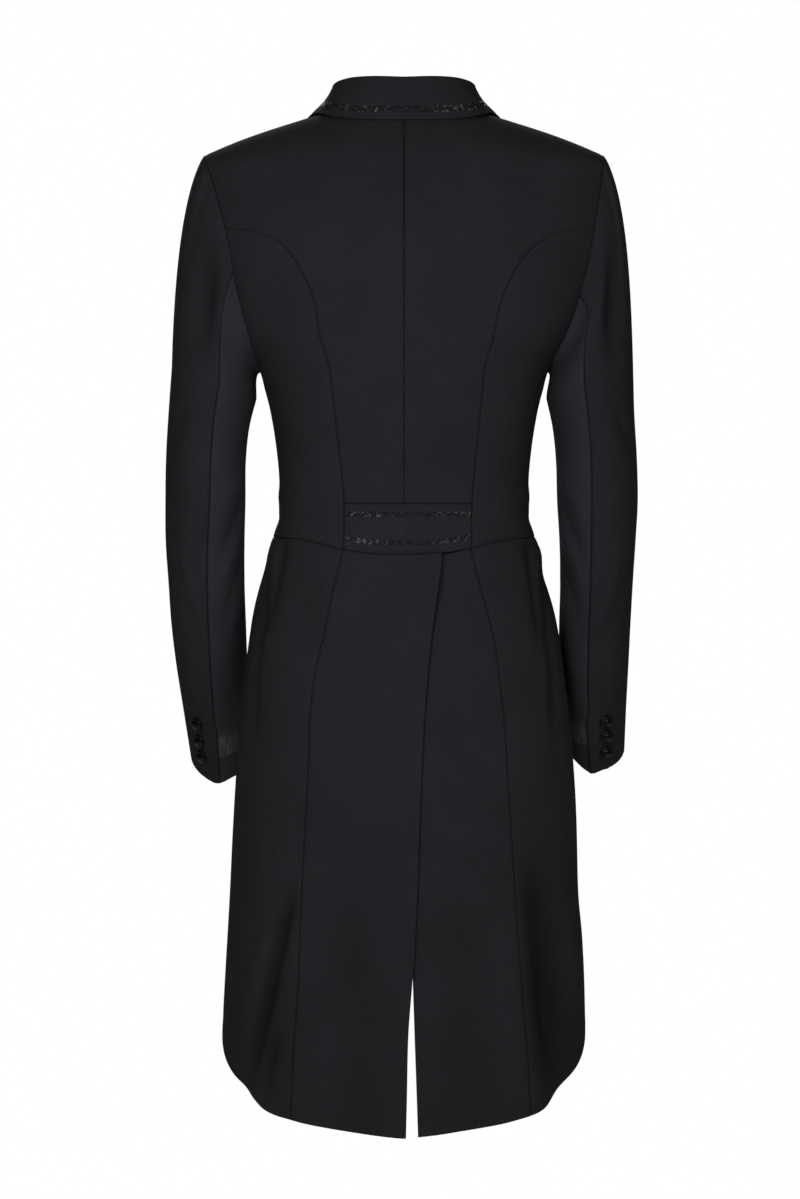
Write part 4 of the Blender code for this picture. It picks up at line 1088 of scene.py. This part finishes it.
def mapped(tree, value, low, high, new_low=0.0, new_high=1.0):
    """A value moved from one range to another, held at its ends."""
    ranges = {"Value": value, "From Min": low, "From Max": high, "To Min": new_low, "To Max": new_high}
    return add_node(tree, "ShaderNodeMapRange", ranges).outputs[0]


def tint(tree, share, first, second):
    """A colour between two, each a socket or its red, green and blue."""
    first, second = (end if isinstance(end, bpy.types.NodeSocket) else (*end, 1) for end in (first, second))
    mix = add_node(tree, "ShaderNodeMix", {0: share, "A": first, "B": second}, data_type="RGBA")
    return mix.outputs["Result"]


def weighted(tree, first, share, second, rest):
    """The sum of two values, each times its share."""
    return math(tree, "ADD", math(tree, "MULTIPLY", first, share), math(tree, "MULTIPLY", second, rest))


def ripple(tree, coordinate, pitch):
    """A sine along a coordinate in metres, one wave for each pitch."""
    return math(tree, "SINE", math(tree, "MULTIPLY", coordinate, 2 * np.pi / pitch))


def cloth_material(name, ribbed=False):
    """Woven cloth: threads as crossed sines (or ribs as one), slubs and patches from noise, in metres."""
    dark, light, roughness, sheen, pitch = CLOTHS[name]
    material, tree, shader, place = new_material(name, roughness, CLOTH_SPECULAR)
    uv = add_node(tree, "ShaderNodeUVMap", uv_map="cloth").outputs["UV"]
    parts = add_node(tree, "ShaderNodeSeparateXYZ", {0: uv}).outputs
    across = ripple(tree, parts["X"], pitch)
    weave = across if ribbed else math(tree, "MULTIPLY", across, ripple(tree, parts["Y"], pitch))
    long_uv = add_node(tree, "ShaderNodeMapping", {"Vector": uv, "Scale": SLUBS_PER_METRE}).outputs[0]
    slubs = noise(tree, long_uv, Scale=1.0, Detail=3.0)
    patches = noise(tree, place, Scale=16.0, Detail=4.0)
    fibres = noise(tree, place, Scale=2600.0, Detail=2.0)
    uneven = weighted(tree, slubs, SLUB_SHARE, patches, 1 - SLUB_SHARE)
    lightness = mapped(tree, uneven, *NOISE_RANGE)
    if ribbed:
        # the band's colour is darker towards its top, fading in over BAND_FADE
        faded_in = mapped(tree, parts["Y"], 0, BAND_FADE)
        # painted light and shade on the ribs: lighter on their crests, darker in their grooves, by the sine
        # that raises their bumps
        lightness = math(tree, "MULTIPLY", math(tree, "MULTIPLY_ADD", across, RIB_PAINTED_SHADING, lightness), faded_in)
    # painted shade: the shade attribute darkens the colour towards black in the seams and the folds' hollows
    shade = add_node(tree, "ShaderNodeAttribute", attribute_name="shade").outputs["Fac"]
    colour = tint(tree, shade, tint(tree, lightness, dark, light), BLACK)
    height = weighted(tree, weave, THREAD_HEIGHT, fibres, FIBRE_HEIGHT)
    bump = add_node(tree, "ShaderNodeBump", {"Height": height, "Strength": 0.35, "Distance": THREAD_BUMP})
    tree.links.new(colour, shader["Base Color"])
    tree.links.new(bump.outputs[0], shader["Normal"])
    rough = mapped(tree, patches, 0, 1, roughness - ROUGHNESS_RANGE, roughness + ROUGHNESS_RANGE)
    tree.links.new(rough, shader["Roughness"])
    shader["Sheen Weight"].default_value = sheen
    shader["Sheen Roughness"].default_value = 0.4
    shader["Sheen Tint"].default_value = (0.75, 0.70, 0.78, 1)
    return material


def noisy_material(name, look, **settings):
    """A material whose colour runs from dark to light with a noise, its tree, its shader and the noise."""
    dark, light, roughness, specular = look
    material, tree, shader, place = new_material(name, roughness, specular)
    grain = noise(tree, place, **settings)
    tree.links.new(tint(tree, grain, dark, light), shader["Base Color"])
    return material, tree, shader, grain


def thread_material():
    """Sewing thread, a little shinier than the cloth, with fine twisted streaks."""
    return noisy_material("thread", THREAD_LOOK, Scale=3000.0)[0]


def button_material():
    """Polished black resin with faint swirls in its colour and in its gloss."""
    name = "button_gloss_black"
    material, tree, shader, swirl = noisy_material(name, RESIN_LOOK, Scale=120.0, Distortion=2.0)
    tree.links.new(mapped(tree, swirl, 0, 1, *RESIN_ROUGHNESS), shader["Roughness"])
    return material


def stone_material():
    """Dark cut glass with painted glints: its colour runs from black to light grey by noise at the stones'
    scale, lighter about two peaks.
    """
    dark, light, roughness, specular = GLASS_LOOK
    material, tree, shader, place = new_material("dark_stones", roughness, specular)
    sideways = add_node(tree, "ShaderNodeSeparateXYZ", {"Vector": place}).outputs["X"]
    # painted glints: lighter colour about two peaks across x and in specks the size of stones
    off_middle = math(tree, "ABSOLUTE", math(tree, "SUBTRACT", sideways, PAINTED_SPARKLE["middle"]))
    off_peak = math(tree, "ABSOLUTE", math(tree, "SUBTRACT", off_middle, PAINTED_SPARKLE["off"]))
    share = mapped(tree, off_peak, PAINTED_SPARKLE["none"], PAINTED_SPARKLE["full"], LEAST_PAINTED_SPARKLE)
    painted_glint = mapped(tree, noise(tree, place, Scale=260.0, Detail=1.0), *PAINTED_GLINT_RANGE)
    tree.links.new(tint(tree, math(tree, "MULTIPLY", painted_glint, share), dark, light), shader["Base Color"])
    return material


def make_floor():
    """A plain pale floor at the height of a wearer's feet."""
    turn = np.linspace(0, 2 * np.pi, FLOOR_SIDES, endpoint=False)
    points = np.stack([np.cos(turn) * FLOOR_RADIUS, np.sin(turn) * FLOOR_RADIUS, 0 * turn + FLOOR], axis=-1)
    pale = noisy_material("pale_floor", FLOOR_LOOK, Scale=3.0)[0]
    make_mesh("floor", points, [list(range(FLOOR_SIDES))], pale)


def make_light(name, place, size, power):
    """A soft square studio light that faces the coat."""
    light = bpy.data.lights.new(name, "AREA")
    light.size = size
    light.energy = power
    lamp = put_in(name, light)
    lamp.location = place
    lamp.rotation_euler = (Vector(LIGHT_AIM) - Vector(place)).to_track_quat("-Z", "Y").to_euler()


def make_studio():
    """White surroundings that show white but light dimly, and soft lights behind and in front of the coat."""
    world = bpy.data.worlds.new("white_studio")
    world.use_nodes = True
    tree = world.node_tree
    background = tree.nodes["Background"].inputs
    path = add_node(tree, "ShaderNodeLightPath").outputs
    dim = mapped(tree, path["Is Glossy Ray"], 0, 1, AMBIENT, MIRRORED)
    tree.links.new(mapped(tree, path["Is Camera Ray"], 0, 1, dim), background["Strength"])
    background["Color"].default_value = (1, 1, 1, 1)
    world.cycles.sampling_method = "NONE"
    bpy.context.scene.world = world
    bpy.context.scene.view_settings.view_transform = "Standard"
    for name, (place, size, power) in LIGHTS.items():
        make_light(name, place, size, power)


def make_camera():
    """The camera straight behind the coat, its frame the photograph's at the coat's back."""
    camera = bpy.data.cameras.new("camera")
    camera.sensor_width = FILM
    camera.lens = FILM * CAMERA_DISTANCE / VIEW_HEIGHT
    holder = put_in("camera", camera)
    holder.location = (VIEW_CENTRE[0], VIEW_PLANE + CAMERA_DISTANCE, VIEW_CENTRE[1])
    holder.rotation_euler = Vector((0, -1, 0)).to_track_quat("-Z", "Y").to_euler()
    bpy.context.scene.camera = holder


def make_coat():
    """Every piece of the coat."""
    coat, stretch = cloth_material("coat_twill"), cloth_material("stretch_jersey")
    ribbed = cloth_material("ribbed_band", ribbed=True)
    thread, gloss, stone = thread_material(), button_material(), stone_material()
    for side in (LEFT, RIGHT):
        make_backs(side, coat)
        make_fronts(side, coat)
        make_lapel(side, coat)
        make_tails(side, coat)
        make_sleeve(side, coat, stretch)
        make_cuff(side, ribbed, gloss)
    make_tab(coat)
    make_collar(coat)
    make_front_buttons(gloss)
    make_topstitching(thread)
    for name, row in STONE_ROWS.items():
        make_stones(name, *row, stone)


make_camera()
make_studio()
make_floor()
make_coat()
